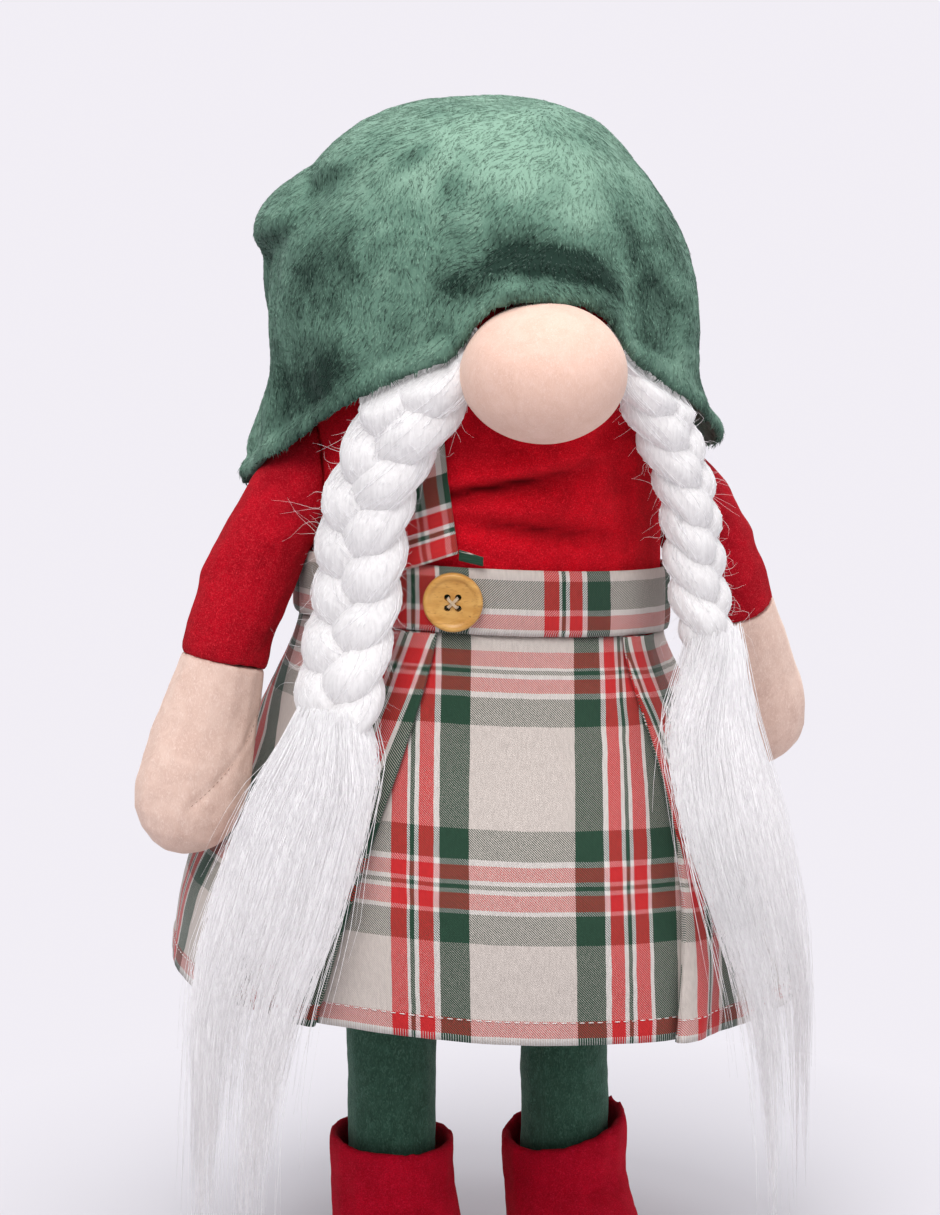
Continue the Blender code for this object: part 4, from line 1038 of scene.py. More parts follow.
for quarter in range(4):
    angle = math.radians(45 + 90 * quarter)
    bpy.ops.mesh.primitive_cylinder_add(vertices=24, radius=BUTTON_HOLE_RADIUS, depth=4 * BUTTON_THICKNESS)
    drill = bpy.context.object
    drill.location = (BUTTON_HOLE_SPREAD * math.cos(angle), BUTTON_HOLE_SPREAD * math.sin(angle), 0.0)
    hole = button.modifiers.new("Hole", 'BOOLEAN')
    hole.object = drill
    hole.operation = 'DIFFERENCE'
    drills.append(drill)
plain_mesh(button)
for drill in drills:
    bpy.data.objects.remove(drill)
button.data.transform(button_frame())
button.data.shade_smooth()
button.data.set_sharp_from_angle(angle=math.radians(50))
on_body(button, "button_wood", "button")


def tubes(name, paths, radii, material, sides=3, tones=None):
    """Many closed tubes in one mesh: paths by fibre, point and axis, and a radius for each point."""
    paths = np.asarray(paths, float)
    radii = np.asarray(radii, float)
    count, points, _ = paths.shape
    way = np.gradient(paths, axis=1)
    way /= np.linalg.norm(way, axis=2, keepdims=True) + 1e-12
    guide = np.where(np.abs(way[:, :1, 2:3]) > 0.9, np.array([1.0, 0.0, 0.0]), np.array([0.0, 0.0, 1.0]))
    guide = np.broadcast_to(guide, way.shape)
    side_way = np.cross(way, guide)
    side_way /= np.linalg.norm(side_way, axis=2, keepdims=True) + 1e-12
    up_way = np.cross(side_way, way)
    turns = 2 * math.pi * np.arange(sides) / sides
    ring = (side_way[:, :, None, :] * np.cos(turns)[None, None, :, None]
            + up_way[:, :, None, :] * np.sin(turns)[None, None, :, None])
    corners = paths[:, :, None, :] + ring * radii[:, :, None, None]
    start = (np.arange(count) * points * sides)[:, None, None]
    row = (np.arange(points - 1) * sides)[None, :, None]
    near = np.arange(sides)[None, None, :]
    far = (near + 1) % sides
    quads = np.stack([start + row + near, start + row + sides + near, start + row + sides + far,
                      start + row + far], axis=-1).reshape(-1, 4)
    first = start[:, :, 0] + np.arange(sides)[None, :]
    last = start[:, :, 0] + (points - 1) * sides + np.arange(sides)[None, ::-1]
    mesh = bpy.data.meshes.new(name)
    mesh.from_pydata(corners.reshape(-1, 3).tolist(), [], quads.tolist() + first.tolist() + last.tolist())
    if tones is not None:
        set_amounts(mesh, "tone", np.repeat(tones, points * sides))
    return show(name, mesh, material)


def turned_out(piece):
    """The piece with its faces pointing outwards."""
    form = bmesh.new()
    form.from_mesh(piece.data)
    if form.calc_volume(signed=True) < 0:
        bmesh.ops.reverse_faces(form, faces=form.faces)
    form.to_mesh(piece.data)
    form.free()
    return piece


beige_thread = thread_material("beige thread", (0.66, 0.50, 0.33))
thread_paths = []
top = dish + TOUCH + THREAD_RADIUS
for diagonal in range(2):
    turn = math.radians(45 + 90 * diagonal)
    run = np.array([math.cos(turn), math.sin(turn), 0.0])
    beside = np.array([-math.sin(turn), math.cos(turn), 0.0])
    for strand in (-0.6, 0.6):
        path = []
        for step in range(THREAD_STEPS + 1):
            share = step / THREAD_STEPS * 2 - 1
            arch = THREAD_RADIUS * (0.9 * diagonal + 0.3) * (1 - abs(share) ** 3)
            rise = top + arch - 0.0022 * abs(share) ** 8
            reach = BUTTON_HOLE_SPREAD * 0.86 * math.sin(share * math.pi / 2)
            path.append(run * reach + beside * strand * THREAD_RADIUS * 0.75 * (1 + 0.2 * abs(share))
                        + np.array([0.0, 0.0, rise - 0.0001 * abs(strand)]))
        thread_paths.append(path)
thread_radii = np.full((len(thread_paths), THREAD_STEPS + 1), THREAD_RADIUS * 0.50)
thread = turned_out(tubes("button_thread_cross", thread_paths, thread_radii, beige_thread, 8))
thread.data.transform(button_frame())
on_body(thread, "button_thread", "button_thread")


# Nose
# A ball of peach fleece drawn over stuffing and gathered behind, pressed against the head so that
# the hat's hem rides up over it.

NOSE_HALF_WIDTH = 0.0328
NOSE_HALF_DEPTH = 0.0315
NOSE_HALF_HEIGHT = 0.0275
NOSE_HEIGHT = 0.4130
NOSE_SIDE = 0.004
NOSE_SINK = 0.005

nose_middle = Vector((
    NOSE_SIDE, body_point(0.0, NOSE_HEIGHT).y - AXIS.y - NOSE_HALF_DEPTH + NOSE_SINK, NOSE_HEIGHT)) + AXIS
nose_form = bmesh.new()
bmesh.ops.create_icosphere(nose_form, subdivisions=6, radius=1.0)
for vertex in nose_form.verts:
    spot = vertex.co.copy()
    swell = 1 + 0.012 * lumps(spot, 0.9, 18.0) + 0.004 * lumps(spot, 0.3, 19.0)
    at = Vector((spot.x * NOSE_HALF_WIDTH, spot.y * NOSE_HALF_DEPTH, spot.z * NOSE_HALF_HEIGHT))
    at = at * swell + nose_middle
    on_felt = body_point(angle_round(at, BODY_DEPTH_RATIO), at.z, TOUCH)
    if (at - AXIS).xy.length < (on_felt - AXIS).xy.length:
        at = on_felt
    vertex.co = at
nose_mesh = bpy.data.meshes.new("fleece_nose")
nose_form.to_mesh(nose_mesh)
nose_form.free()
nose_fleece = fleece_material(
    "nose fleece", (0.70, 0.45, 0.355), (0.76, 0.515, 0.42), (0.80, 0.585, 0.52), 0.0008)
nose = show("fleece_nose", nose_mesh, nose_fleece)
on_body(nose, "peach_fleece", "nose")


# Hat
# One cone of short-pile green plush pulled well down over the head, its hem turned up and stitched.
# Its tip is folded back and hangs behind. The pile lies in streaks and brushed patches, and light and shade are
# painted into its colour.

HAT_TOP = 0.514
HAT_WALL_TOP = 0.400
HAT_HALF_WIDTH = 0.090
HAT_DEPTH_RATIO = 0.95
HAT_SQUARENESS = 2.6
HAT_FLARE = 0.31
HAT_FLARE_LEAN = 0.35
HAT_CLOTH = 0.0035
HAT_LOWER_REACH = 0.060
HEM_BACK_HEIGHT = 0.350
HEM_FRONT_RISE = 0.072
HEM_NOSE_RISE = 0.0172
HEM_NOSE_ANGLE = math.radians(2)
HEM_NOSE_REACH = math.radians(24.5)
HEM_NOSE_REACH_MINUS_X = math.radians(18.5)
HEM_BAND = 0.0095
# The bulge that the nose pushes into the front
BULGE = 0.007
BULGE_HEIGHT = 0.445
BULGE_TALL = 0.030
TAIL_TIP_HEIGHT = 0.300
HAT_ROWS = 90
HAT_COLUMNS = 192
HAT_VOXEL = 0.0024
# Soft folds: angle and height of the middle, reach round and up, slope, depth; plus is a ridge
HAT_FOLDS = in_radians([
    (-78, 0.478, 26, 0.0065, 0.012, -0.0045),
    (-60, 0.492, 24, 0.0070, 0.010, 0.0030),
    (30, 0.440, 9, 0.0300, -0.020, -0.0030),
    (56, 0.425, 10, 0.0340, -0.016, 0.0032),
    (-20, 0.446, 12, 0.0180, 0.014, -0.0034),
    (-52, 0.405, 11, 0.0220, 0.010, 0.0024),
    (-98, 0.400, 10, 0.0300, 0.0, -0.0028),
    (-84, 0.392, 5, 0.0260, 0.006, 0.0024),
    (-73, 0.385, 4, 0.0240, 0.010, -0.0022),
    (-34, 0.470, 9, 0.0050, 0.020, -0.0014),
    (-12, 0.476, 8, 0.0070, -0.030, -0.0016),
    (44, 0.418, 4, 0.0260, -0.010, -0.0018),
    (70, 0.405, 5, 0.0260, -0.010, -0.0022),
    (-4, 0.4600, 20, 0.0075, -0.006, -0.0042),
    (-12, 0.4480, 14, 0.0050, -0.020, 0.0026),
    (-66, 0.4860, 14, 0.0045, 0.030, -0.0036),
    (-90, 0.4300, 5, 0.0350, 0.010, -0.0034),
    (-100, 0.3720, 5, 0.0200, 0.0, 0.0030),
    (-64, 0.3980, 5, 0.0200, 0.020, -0.0022),
    (76, 0.4900, 42, 0.0240, 0.0, -0.0065),
])
# Patches of painted shade in hollows and folds, such as above the nose, painted light on the top, and patches
# where the nap is brushed lighter or darker, written as the folds are, with an amount for the depth
NAP_LIGHT_AND_SHADE_PATCHES = in_radians([
    (1, 0.4560, 12, 0.0092, 0.0, -0.62),
    (-15, 0.4510, 11, 0.0078, 0.035, -0.30),
    (18, 0.4490, 10, 0.0095, -0.035, -0.34),
    (33, 0.4500, 12, 0.0240, 0.0, -0.36),
    (29, 0.4380, 4, 0.0160, -0.02, 0.36),
    (-12, 0.4920, 48, 0.0160, 0.0, 0.26),
    (-22, 0.4840, 7, 0.0080, 0.02, -0.50),
    (-38, 0.4940, 7, 0.0050, 0.02, -0.42),
    (-28, 0.4780, 5, 0.0060, -0.03, 0.30),
    (-66, 0.4450, 24, 0.0330, 0.0, -0.22),
    (-68, 0.4030, 20, 0.0120, 0.0, -0.34),
    (52, 0.4640, 10, 0.0160, -0.02, -0.22),
    (16, 0.4700, 12, 0.0080, 0.0, 0.18),
])


def hem_height(angle):
    """Height of the hat's hem: low behind, rising to the nose, which pushes it up."""
    rise = HEM_FRONT_RISE * ((1 + math.cos(angle)) / 2) ** 2.2
    gap = turn_gap(angle, HEM_NOSE_ANGLE)
    lifted = HEM_NOSE_RISE * math.exp(-(gap / (HEM_NOSE_REACH if gap > 0 else HEM_NOSE_REACH_MINUS_X)) ** 6)
    return HEM_BACK_HEIGHT + rise + lifted - 0.006 * math.sin(-angle) * (1 - math.cos(angle)) / 2


def hat_run(height):
    """Place on the hat's profile for a height: below 0 on its flared wall, 1 at its top."""
    if height < HAT_WALL_TOP:
        return (height - HAT_WALL_TOP) / HAT_LOWER_REACH
    share = min((height - HAT_WALL_TOP) / (HAT_TOP - HAT_WALL_TOP), 1.0)
    return math.asin(share ** (HAT_SQUARENESS / 2)) / (math.pi / 2)


def hat_point(angle, run, off=0.0):
    """A point on the hat's outside, at a place on its profile, or a distance off it."""
    if run < 0:
        half_width = HAT_HALF_WIDTH - HAT_FLARE * (1 + HAT_FLARE_LEAN * math.sin(angle)) * run * HAT_LOWER_REACH
        height = HAT_WALL_TOP + run * HAT_LOWER_REACH
    else:
        slope = run * math.pi / 2
        half_width = HAT_HALF_WIDTH * max(math.cos(slope), 0.0) ** (2 / HAT_SQUARENESS)
        height = HAT_WALL_TOP + (HAT_TOP - HAT_WALL_TOP) * math.sin(slope) ** (2 / HAT_SQUARENESS)
    out = BULGE * hump(turn_gap(angle, HEM_NOSE_ANGLE), 0.0, HEM_NOSE_REACH)
    out *= hump(height, BULGE_HEIGHT, BULGE_TALL)
    out += fold_rise(HAT_FOLDS, angle, height)
    fade = min(half_width / 0.04, 1.0)
    grown = half_width + (out * fade + off) * math.cos(max(run, 0.0) * math.pi / 2) ** 0.5
    point = at_angle(angle, grown, grown * HAT_DEPTH_RATIO, height)
    point.z += off * math.sin(max(run, 0.0) * math.pi / 2)
    return point


def nap_and_painted_light_tone(point, normal):
    """How light the hat's colour is at a point, 0 dark, 1 light: painted light on faces that look up, the
    painted light and shade of the patches, and brushed nap.
    """
    angle = angle_round(point, HAT_DEPTH_RATIO)
    # Painted light: faces that look up are made lighter
    tone = 0.48 + 0.27 * normal.z + 1.35 * fold_rise(NAP_LIGHT_AND_SHADE_PATCHES, angle, point.z)
    return tone + 0.34 * lumps(point, 0.021, 25.0) + 0.20 * lumps(point, 0.008, 26.0)


def plush_material(name, dark, middle, light):
    """Short green pile, brushed darker and lighter in patches, with fine streaks where it lies over; the tone
    amounts it reads also carry painted light and shade.
    """
    material, tree, shader = new_material(name, 0.85, 0.12, (0.70, 0.95, 0.85))
    shader.inputs["Specular IOR Level"].default_value = 0.2
    place = add_node(tree, "ShaderNodeTexCoord").outputs["Object"]
    streak = grain(tree, place, 0.0018, 2.0, 1.8, (1.0, 1.0, 0.4))
    tone = add_node(tree, "ShaderNodeAttribute", attribute_name="tone").outputs["Fac"]
    tone = sums(tree, tone, 'ADD', sums(tree, sums(tree, streak, 'SUBTRACT', 0.5), 'MULTIPLY', 0.55))
    colour = blend_of(tree, between(tree, tone, 0.0, 0.5), dark, middle)
    colour = blend_of(tree, between(tree, tone, 0.5, 1.0), colour, light)
    tree.links.new(colour, shader.inputs["Base Color"])
    raise_surface(tree, shader, streak, 0.0005, 0.6)
    return material


plush_colours = ((0.007, 0.024, 0.016), (0.104, 0.198, 0.146), (0.210, 0.345, 0.262))
hat_points = []
for row in range(HAT_ROWS):
    for column in range(HAT_COLUMNS):
        angle = 2 * math.pi * column / HAT_COLUMNS
        hem = hem_height(angle)
        share = (row / (HAT_ROWS - 1)) ** 1.15 * 0.985
        run = mix(hat_run(hem), 1.0, share)
        over_hem = hat_point(angle, run).z - hem
        off = 0.0012 * hump(over_hem, 0.0050, 0.0042) - 0.0032 * hump(over_hem, HEM_BAND + 0.0015, 0.0019)
        pucker = lumps(Vector((angle * 0.09, 0.0, 0.0)), 0.007, 20.0)
        off += 0.0009 * pucker * hump(over_hem, HEM_BAND, 0.006)
        hat_points.append(hat_point(angle, run, off))
hat_mesh = bpy.data.meshes.new("plush_hat")
hat_faces = ring_faces(HAT_ROWS, HAT_COLUMNS, False)
hat_faces.append(tuple((HAT_ROWS - 1) * HAT_COLUMNS + column for column in range(HAT_COLUMNS)))
hat_mesh.from_pydata([tuple(point) for point in hat_points], [], hat_faces)
hat_skin = plush_material("green plush", *plush_colours)
hat = show("plush_hat", hat_mesh, hat_skin)
thicken(hat, HAT_CLOTH, -1.0)

# Height, reach towards -X and +X in degrees, thickness
TAIL_STATIONS = [
    (TAIL_TIP_HEIGHT, Vector((7, 7, 0.009))), (0.325, Vector((17, 16, 0.015))),
    (0.355, Vector((31, 29, 0.019))), (0.395, Vector((48, 42, 0.022))),
    (0.435, Vector((62, 54, 0.021))), (0.450, Vector((70, 58, 0.019))),
    (0.459, Vector((92, 60, 0.018))), (0.470, Vector((101, 60, 0.017))),
    (0.478, Vector((94, 60, 0.011))), (0.486, Vector((70, 52, 0.004))),
]
TAIL_ROWS = 56
TAIL_COLUMNS = 40
tail_points = []
for row in range(TAIL_ROWS):
    height = mix(TAIL_TIP_HEIGHT, TAIL_STATIONS[-1][0], row / (TAIL_ROWS - 1))
    minus_reach, plus_reach, thick = along(TAIL_STATIONS, height)
    profile = hat_run(max(height, 0.362))
    near = []
    far = []
    for column in range(TAIL_COLUMNS):
        share = -1 + 2 * column / (TAIL_COLUMNS - 1)
        reach = minus_reach if share < 0 else plus_reach
        angle = math.pi - math.radians(reach) * share
        swell = (1 - abs(share) ** 3) ** 0.5
        crease = 0.0020 * math.sin(3.2 * share + 22 * (height - 0.40)) * swell
        for line, off in ((near, -HAT_CLOTH * 0.5), (far, 0.0012 + thick * swell + crease)):
            point = hat_point(angle, profile, off)
            point.z = height
            line.append(point)
    tail_points.extend(near + far[::-1])
tail_mesh = bpy.data.meshes.new("hat_tail")
tail_faces = ring_faces(TAIL_ROWS, 2 * TAIL_COLUMNS, True)
tail_mesh.from_pydata([tuple(point) for point in tail_points], [], tail_faces)
tail = turned_out(show("hat_tail", tail_mesh, hat_skin))
whole = bmesh.new()
whole.from_mesh(turned_out(hat).data)
whole.from_mesh(tail.data)
whole.to_mesh(hat.data)
whole.free()
bpy.data.objects.remove(tail)
even_faces(hat, voxel=HAT_VOXEL, rounds=2)


def hat_rise(point, normal):
    """Small rolling unevenness of the plush."""
    return 0.0011 * lumps(point, 0.024, 21.0) + 0.0005 * lumps(point, 0.009, 22.0)


push(hat, hat_rise)
# The tone amounts carry painted light on upward faces and the painted light and shade of the patches, besides
# the brushed nap
set_amounts(hat.data, "tone", [nap_and_painted_light_tone(vertex.co, vertex.normal) for vertex in hat.data.vertices])
on_body(hat, "green_plush", "hat")

# The pile itself: small tufts that lie over one another down the hat, in a swirling grain

TUFTS = 42000
TUFT_LENGTH = 0.0030
TUFT_HALF_WIDTH = 0.00030
TUFT_THICKNESS = 0.00010
TUFT_SEED = 31


def lay_pile(piece, name, count, seed, material):
    """Pointed tufts on the outer side of a piece, lying downwards in a swirling grain."""
    chance = np.random.default_rng(seed)
    outer = []
    for face in piece.data.polygons:
        away = face.center - AXIS
        away.z = 2.0 * max(away.z - HAT_WALL_TOP - 0.04, 0.0)
        if face.normal.dot(away.normalized()) > -0.15:
            outer.append(face)
    areas = np.array([face.area for face in outer])
    picks = chance.choice(len(outer), count, p=areas / areas.sum())
    points = []
    faces = []
    tones = []
    for pick in picks:
        face = outer[pick]
        corners = [piece.data.vertices[index].co for index in face.vertices]
        weights = chance.dirichlet([1.0] * len(corners))
        root = sum((corner * weight for corner, weight in zip(corners, weights)), Vector())
        swirl = 1.2 * lumps(root, 0.035, 23.0) + 0.8 * lumps(root, 0.012, 24.0)
        swirl += 0.16 * chance.standard_normal()
        down = Vector((0.25 * math.sin(9.0 * root.z), 0.15, -1.0))
        down = (down - face.normal * down.dot(face.normal)).normalized()
        lay = Matrix.Rotation(swirl, 3, face.normal) @ down
        beside = face.normal.cross(lay)
        size = TUFT_LENGTH * chance.uniform(0.6, 1.3)
        tip = root + lay * size + face.normal * size * chance.uniform(0.03, 0.11)
        start = len(points)
        points.extend([root - beside * TUFT_HALF_WIDTH, root + beside * TUFT_HALF_WIDTH,
                       root + lay * size * 0.3 + face.normal * TUFT_THICKNESS * 2, tip])
        faces.extend([(start, start + 1, start + 2), (start, start + 2, start + 3),
                      (start + 1, start + 3, start + 2), (start, start + 3, start + 1)])
        # Each tuft takes the painted light and shade of the hat where it stands
        tone = nap_and_painted_light_tone(root, face.normal) + 0.13 * chance.standard_normal()
        tones.extend([tone] * 4)
    mesh = bpy.data.meshes.new(name)
    mesh.from_pydata([tuple(point) for point in points], [], faces)
    set_amounts(mesh, "tone", tones)
    return turned_out(show(name, mesh, material))


pile = lay_pile(hat, "hat_pile", TUFTS, TUFT_SEED, hat_skin)
on_body(pile, "green_plush")


# Hair
# Two plaits of three strands each, of straight white faux hair, with loose tassels below the ties.
# Every strand is a ridged lock with single hairs laid along it; the plaits' edges are fuzzy.

# Height, angle and distance from the figure's axis of the plait's middle, from the top down
PLAIT_ROUTES = {
    "minus_x": [(0.428, -28, 0.0745), (0.416, -30, 0.0775), (0.400, -33, 0.0812), (0.380, -39, 0.0858),
                (0.362, -44, 0.0878), (0.345, -46, 0.0892), (0.325, -46, 0.0915), (0.308, -46.5, 0.0960),
                (0.290, -46, 0.1040), (0.272, -45, 0.1110)],
    "plus_x": [(0.424, 41, 0.0730), (0.412, 43, 0.0765), (0.396, 46.5, 0.0805), (0.376, 50.5, 0.0860),
               (0.355, 54, 0.0905), (0.322, 54, 0.0950), (0.308, 53, 0.0985), (0.293, 52, 0.1040)],
}
# Half width, half depth and length of a full weave
PLAIT_SIZES = {"minus_x": (0.0190, 0.0118, 0.057), "plus_x": (0.0152, 0.0108, 0.0467)}
# Height, angle, half width and half depth of the loose hair
TASSELS = {
    "minus_x": [(0.284, -45.0, 0.0105, 0.0085), (0.274, -45.0, 0.0140, 0.0100), (0.262, -45.5, 0.0195, 0.0105),
                (0.246, -47.5, 0.0250, 0.0110), (0.222, -49.0, 0.0280, 0.0105), (0.196, -51.0, 0.0300, 0.0095),
                (0.170, -54.0, 0.0290, 0.0085), (0.145, -56.0, 0.0270, 0.0075), (0.115, -57.5, 0.0250, 0.0070),
                (0.085, -58.5, 0.0240, 0.0070), (0.040, -59.0, 0.0230, 0.0070)],
    "plus_x": [(0.304, 52.0, 0.0100, 0.0080), (0.295, 52.0, 0.0135, 0.0095), (0.284, 51.0, 0.0195, 0.0105),
               (0.268, 47.5, 0.0265, 0.0110), (0.240, 43.5, 0.0295, 0.0110), (0.210, 43.5, 0.0300, 0.0100),
               (0.180, 46.0, 0.0295, 0.0090), (0.150, 49.0, 0.0280, 0.0080), (0.120, 51.0, 0.0260, 0.0070),
               (0.085, 52.5, 0.0240, 0.0070), (0.050, 53.0, 0.0230, 0.0070)],
}
STRAND_SWING = 0.52
STRAND_WEAVE = 0.42
STRAND_HALF_WIDTH = 0.52
STRAND_HALF_DEPTH = 0.60
STRAND_CORNERS = 28
STRAND_STEP = 0.0010
STRAND_TONE = 0.45
HAIR_RADIUS = 0.00017
HAIR_GAP = 0.0003
FLYAWAY_RADIUS = 0.00008
PLAIT_HAIRS = 1250
FLYAWAYS = 540
TASSEL_HAIRS = 2700
TASSEL_STEPS = 7
HAIR_STEPS = 7
TASSEL_ROWS = 170
# The soft core of loose hair under the single ones
CORE_LENGTH = 0.088
CORE_ROWS = 90
CORE_CORNERS = 40
CORE_TONE = 0.35
WISPS = 90
STRAY_SHARE = 0.09
TIE_TURNS = 5
TIE_CORNERS = 24
TIE_HALF_LENGTH = 0.0016
TIE_THREAD_RADIUS = 0.0005
PLAIT_SEED = 41
TASSEL_SEED = 51
FLOOR_HEIGHTS = np.linspace(0.03, 0.44, 120)
FLOOR_ANGLES = np.radians(np.linspace(-100, 100, 161))


def dress_reach(angle, height):
    """How far from the axis the clothes reach at an angle and a height."""
    seam = seam_height(angle)
    off = STRAP_CLOTH + 4 * TOUCH
    if height < seam + BAND_WIDTH:
        off += BAND_CLOTH + TOUCH
    reach = (body_point(angle, max(height, seam), off) - AXIS).xy.length
    if height < seam:
        share = min((seam - height) / (seam - skirt_hem(angle)), 1.0)
        reach = max(reach, (skirt_point(angle, share, 2.0) - AXIS).xy.length + SKIRT_CLOTH + TOUCH)
    return reach


def hat_inside(angle, height):
    """How far from the axis the room under the hat reaches; it opens out below the hem."""
    hem = hem_height(angle)
    inner = hat_point(angle, hat_run(max(height, hem)), -HAT_CLOTH - 0.0018) - AXIS
    return inner.xy.length + 1.6 * max(hem - height, 0.0)


def table_of(reach_at):
    """A rule of angle and height as a table, for many hairs at once."""
    return np.array([[reach_at(angle, height) for angle in FLOOR_ANGLES] for height in FLOOR_HEIGHTS])


def read_table(table, angles, heights):
    """Values between the places of a table."""
    row = np.interp(heights, FLOOR_HEIGHTS, np.arange(len(FLOOR_HEIGHTS)))
    column = np.interp(angles, FLOOR_ANGLES, np.arange(len(FLOOR_ANGLES)))
    low_row = np.minimum(row.astype(int), len(FLOOR_HEIGHTS) - 2)
    low_column = np.minimum(column.astype(int), len(FLOOR_ANGLES) - 2)
    down = row - low_row
    aside = column - low_column
    near = table[low_row, low_column] * (1 - aside) + table[low_row, low_column + 1] * aside
    far = table[low_row + 1, low_column] * (1 - aside) + table[low_row + 1, low_column + 1] * aside
    return near * (1 - down) + far * down


clothes_table = table_of(dress_reach)
hat_table = table_of(hat_inside)


def clear_of_clothes(points):
    """Hair points moved out of the clothes and in under the hat, where they would lie in either."""
    local = points - np.array(AXIS)
    reach = np.hypot(local[..., 0], local[..., 1])
    angles = np.arctan2(local[..., 0], -local[..., 1] / BODY_DEPTH_RATIO)
    least = read_table(clothes_table, angles, local[..., 2]) + HAIR_GAP
    hat_angles = np.arctan2(local[..., 0], -local[..., 1] / HAT_DEPTH_RATIO)
    most = np.maximum(read_table(hat_table, hat_angles, local[..., 2]), least + 0.0005)
    kept = np.clip(reach, least, most)
    local = local.copy()
    local[..., 0] *= kept / reach
    local[..., 1] *= kept / reach
    return local + np.array(AXIS)


def read_stations(stations, heights):
    """Values at heights, on smooth curves through stations that are listed from the top down."""
    rising = [(station[0], Vector(station[1:])) for station in stations[::-1]]
    return np.array([tuple(along(rising, height)) for height in heights])


def route_frames(stations, heights):
    """Middle, sideways and outward directions at heights, from (height, angle, distance) stations."""
    read = read_stations(stations, heights)
    turn = np.radians(read[:, 0])
    zero = np.zeros(len(turn))
    out = np.stack([np.sin(turn), -np.cos(turn), zero], axis=1)
    across = np.stack([np.cos(turn), np.sin(turn), zero], axis=1)
    middle = out * read[:, 1:2] + np.stack([zero, zero, heights], axis=1) + np.array(AXIS)
    return middle, across, out


def hair_material(name, dark, light, passing, painted_glow):
    """White faux hair: fine, slightly glossy, with painted shade in streaks between the hairs and a painted
    glow, and light passes through it.
    """
    material, tree, shader = new_material(name, 0.42, 0.25, (0.95, 0.97, 1.0))
    place = add_node(tree, "ShaderNodeTexCoord").outputs["Object"]
    streak = grain(tree, place, 0.0011, 2.0, 0.6, (1.0, 1.0, 0.14))
    tone = add_node(tree, "ShaderNodeAttribute", attribute_name="tone").outputs["Fac"]
    # Painted shade: streaks darker between the hairs
    colour = blend_of(tree, between(tree, streak, 0.32, 0.62), dark, light)
    colour = blend_of(tree, between(tree, tone, -0.3, 1.2), dark, colour)
    tree.links.new(colour, shader.inputs["Base Color"])
    raise_surface(tree, shader, streak, 0.00010, 0.4)
    through = add_node(tree, "ShaderNodeBsdfTranslucent")
    tree.links.new(colour, through.inputs["Color"])
    both = add_node(tree, "ShaderNodeMixShader")
    both.inputs[0].default_value = passing
    tree.links.new(shader.outputs[0], both.inputs[1])
    tree.links.new(through.outputs[0], both.inputs[2])
    tree.links.new(both.outputs[0], tree.nodes["Material Output"].inputs["Surface"])
    # Painted light: a glow that stands in for the light that many thin hairs hand on to one another
    shader.inputs["Emission Color"].default_value = (1.0, 0.98, 0.99, 1.0)
    shader.inputs["Emission Strength"].default_value = painted_glow
    return material


white_hair = hair_material("white hair", (0.74, 0.72, 0.72), (0.95, 0.935, 0.93), 0.25, 0.07)
loose_hair = hair_material("loose white hair", (0.72, 0.705, 0.72), (0.99, 0.98, 0.985), 0.45, 0.31)


def strand_course(side, strand, heights):
    """Middle of a strand at heights, with its own sideways and outward directions and its size."""
    half_width, half_depth, pitch = PLAIT_SIZES[side]
    stations = PLAIT_ROUTES[side]
    middle, across, out = route_frames(stations, heights)
    turn = 2 * math.pi * ((stations[0][0] - heights) / pitch + strand / 3)
    seed = 26.0 + len(side)
    uneven = np.array([lumps(Vector((height, 0.3 * strand, 0.0)), 0.017, seed) for height in heights])
    low = stations[-1][0]
    top = stations[0][0]
    upper = np.clip((heights - top + 0.050) / 0.030, 0, 1)
    tied = np.clip(1 - (heights - low) / 0.016, 0, 1) ** 2
    size = 1 + 0.09 * uneven + 0.16 * upper - 0.42 * tied
    wide = STRAND_SWING * half_width * np.sin(turn) * size
    deep = -STRAND_WEAVE * half_depth * np.sin(2 * turn) * size
    course = middle + across * wide[:, None] + out * deep[:, None]
    way = np.gradient(course, heights, axis=0)
    way /= np.linalg.norm(way, axis=1, keepdims=True)
    front = out - way * np.sum(out * way, axis=1, keepdims=True)
    front /= np.linalg.norm(front, axis=1, keepdims=True)
    beside = np.cross(front, way)
    half_wide = STRAND_HALF_WIDTH * half_width * size
    half_deep = STRAND_HALF_DEPTH * half_depth * size
    return course, beside, front, half_wide, half_deep


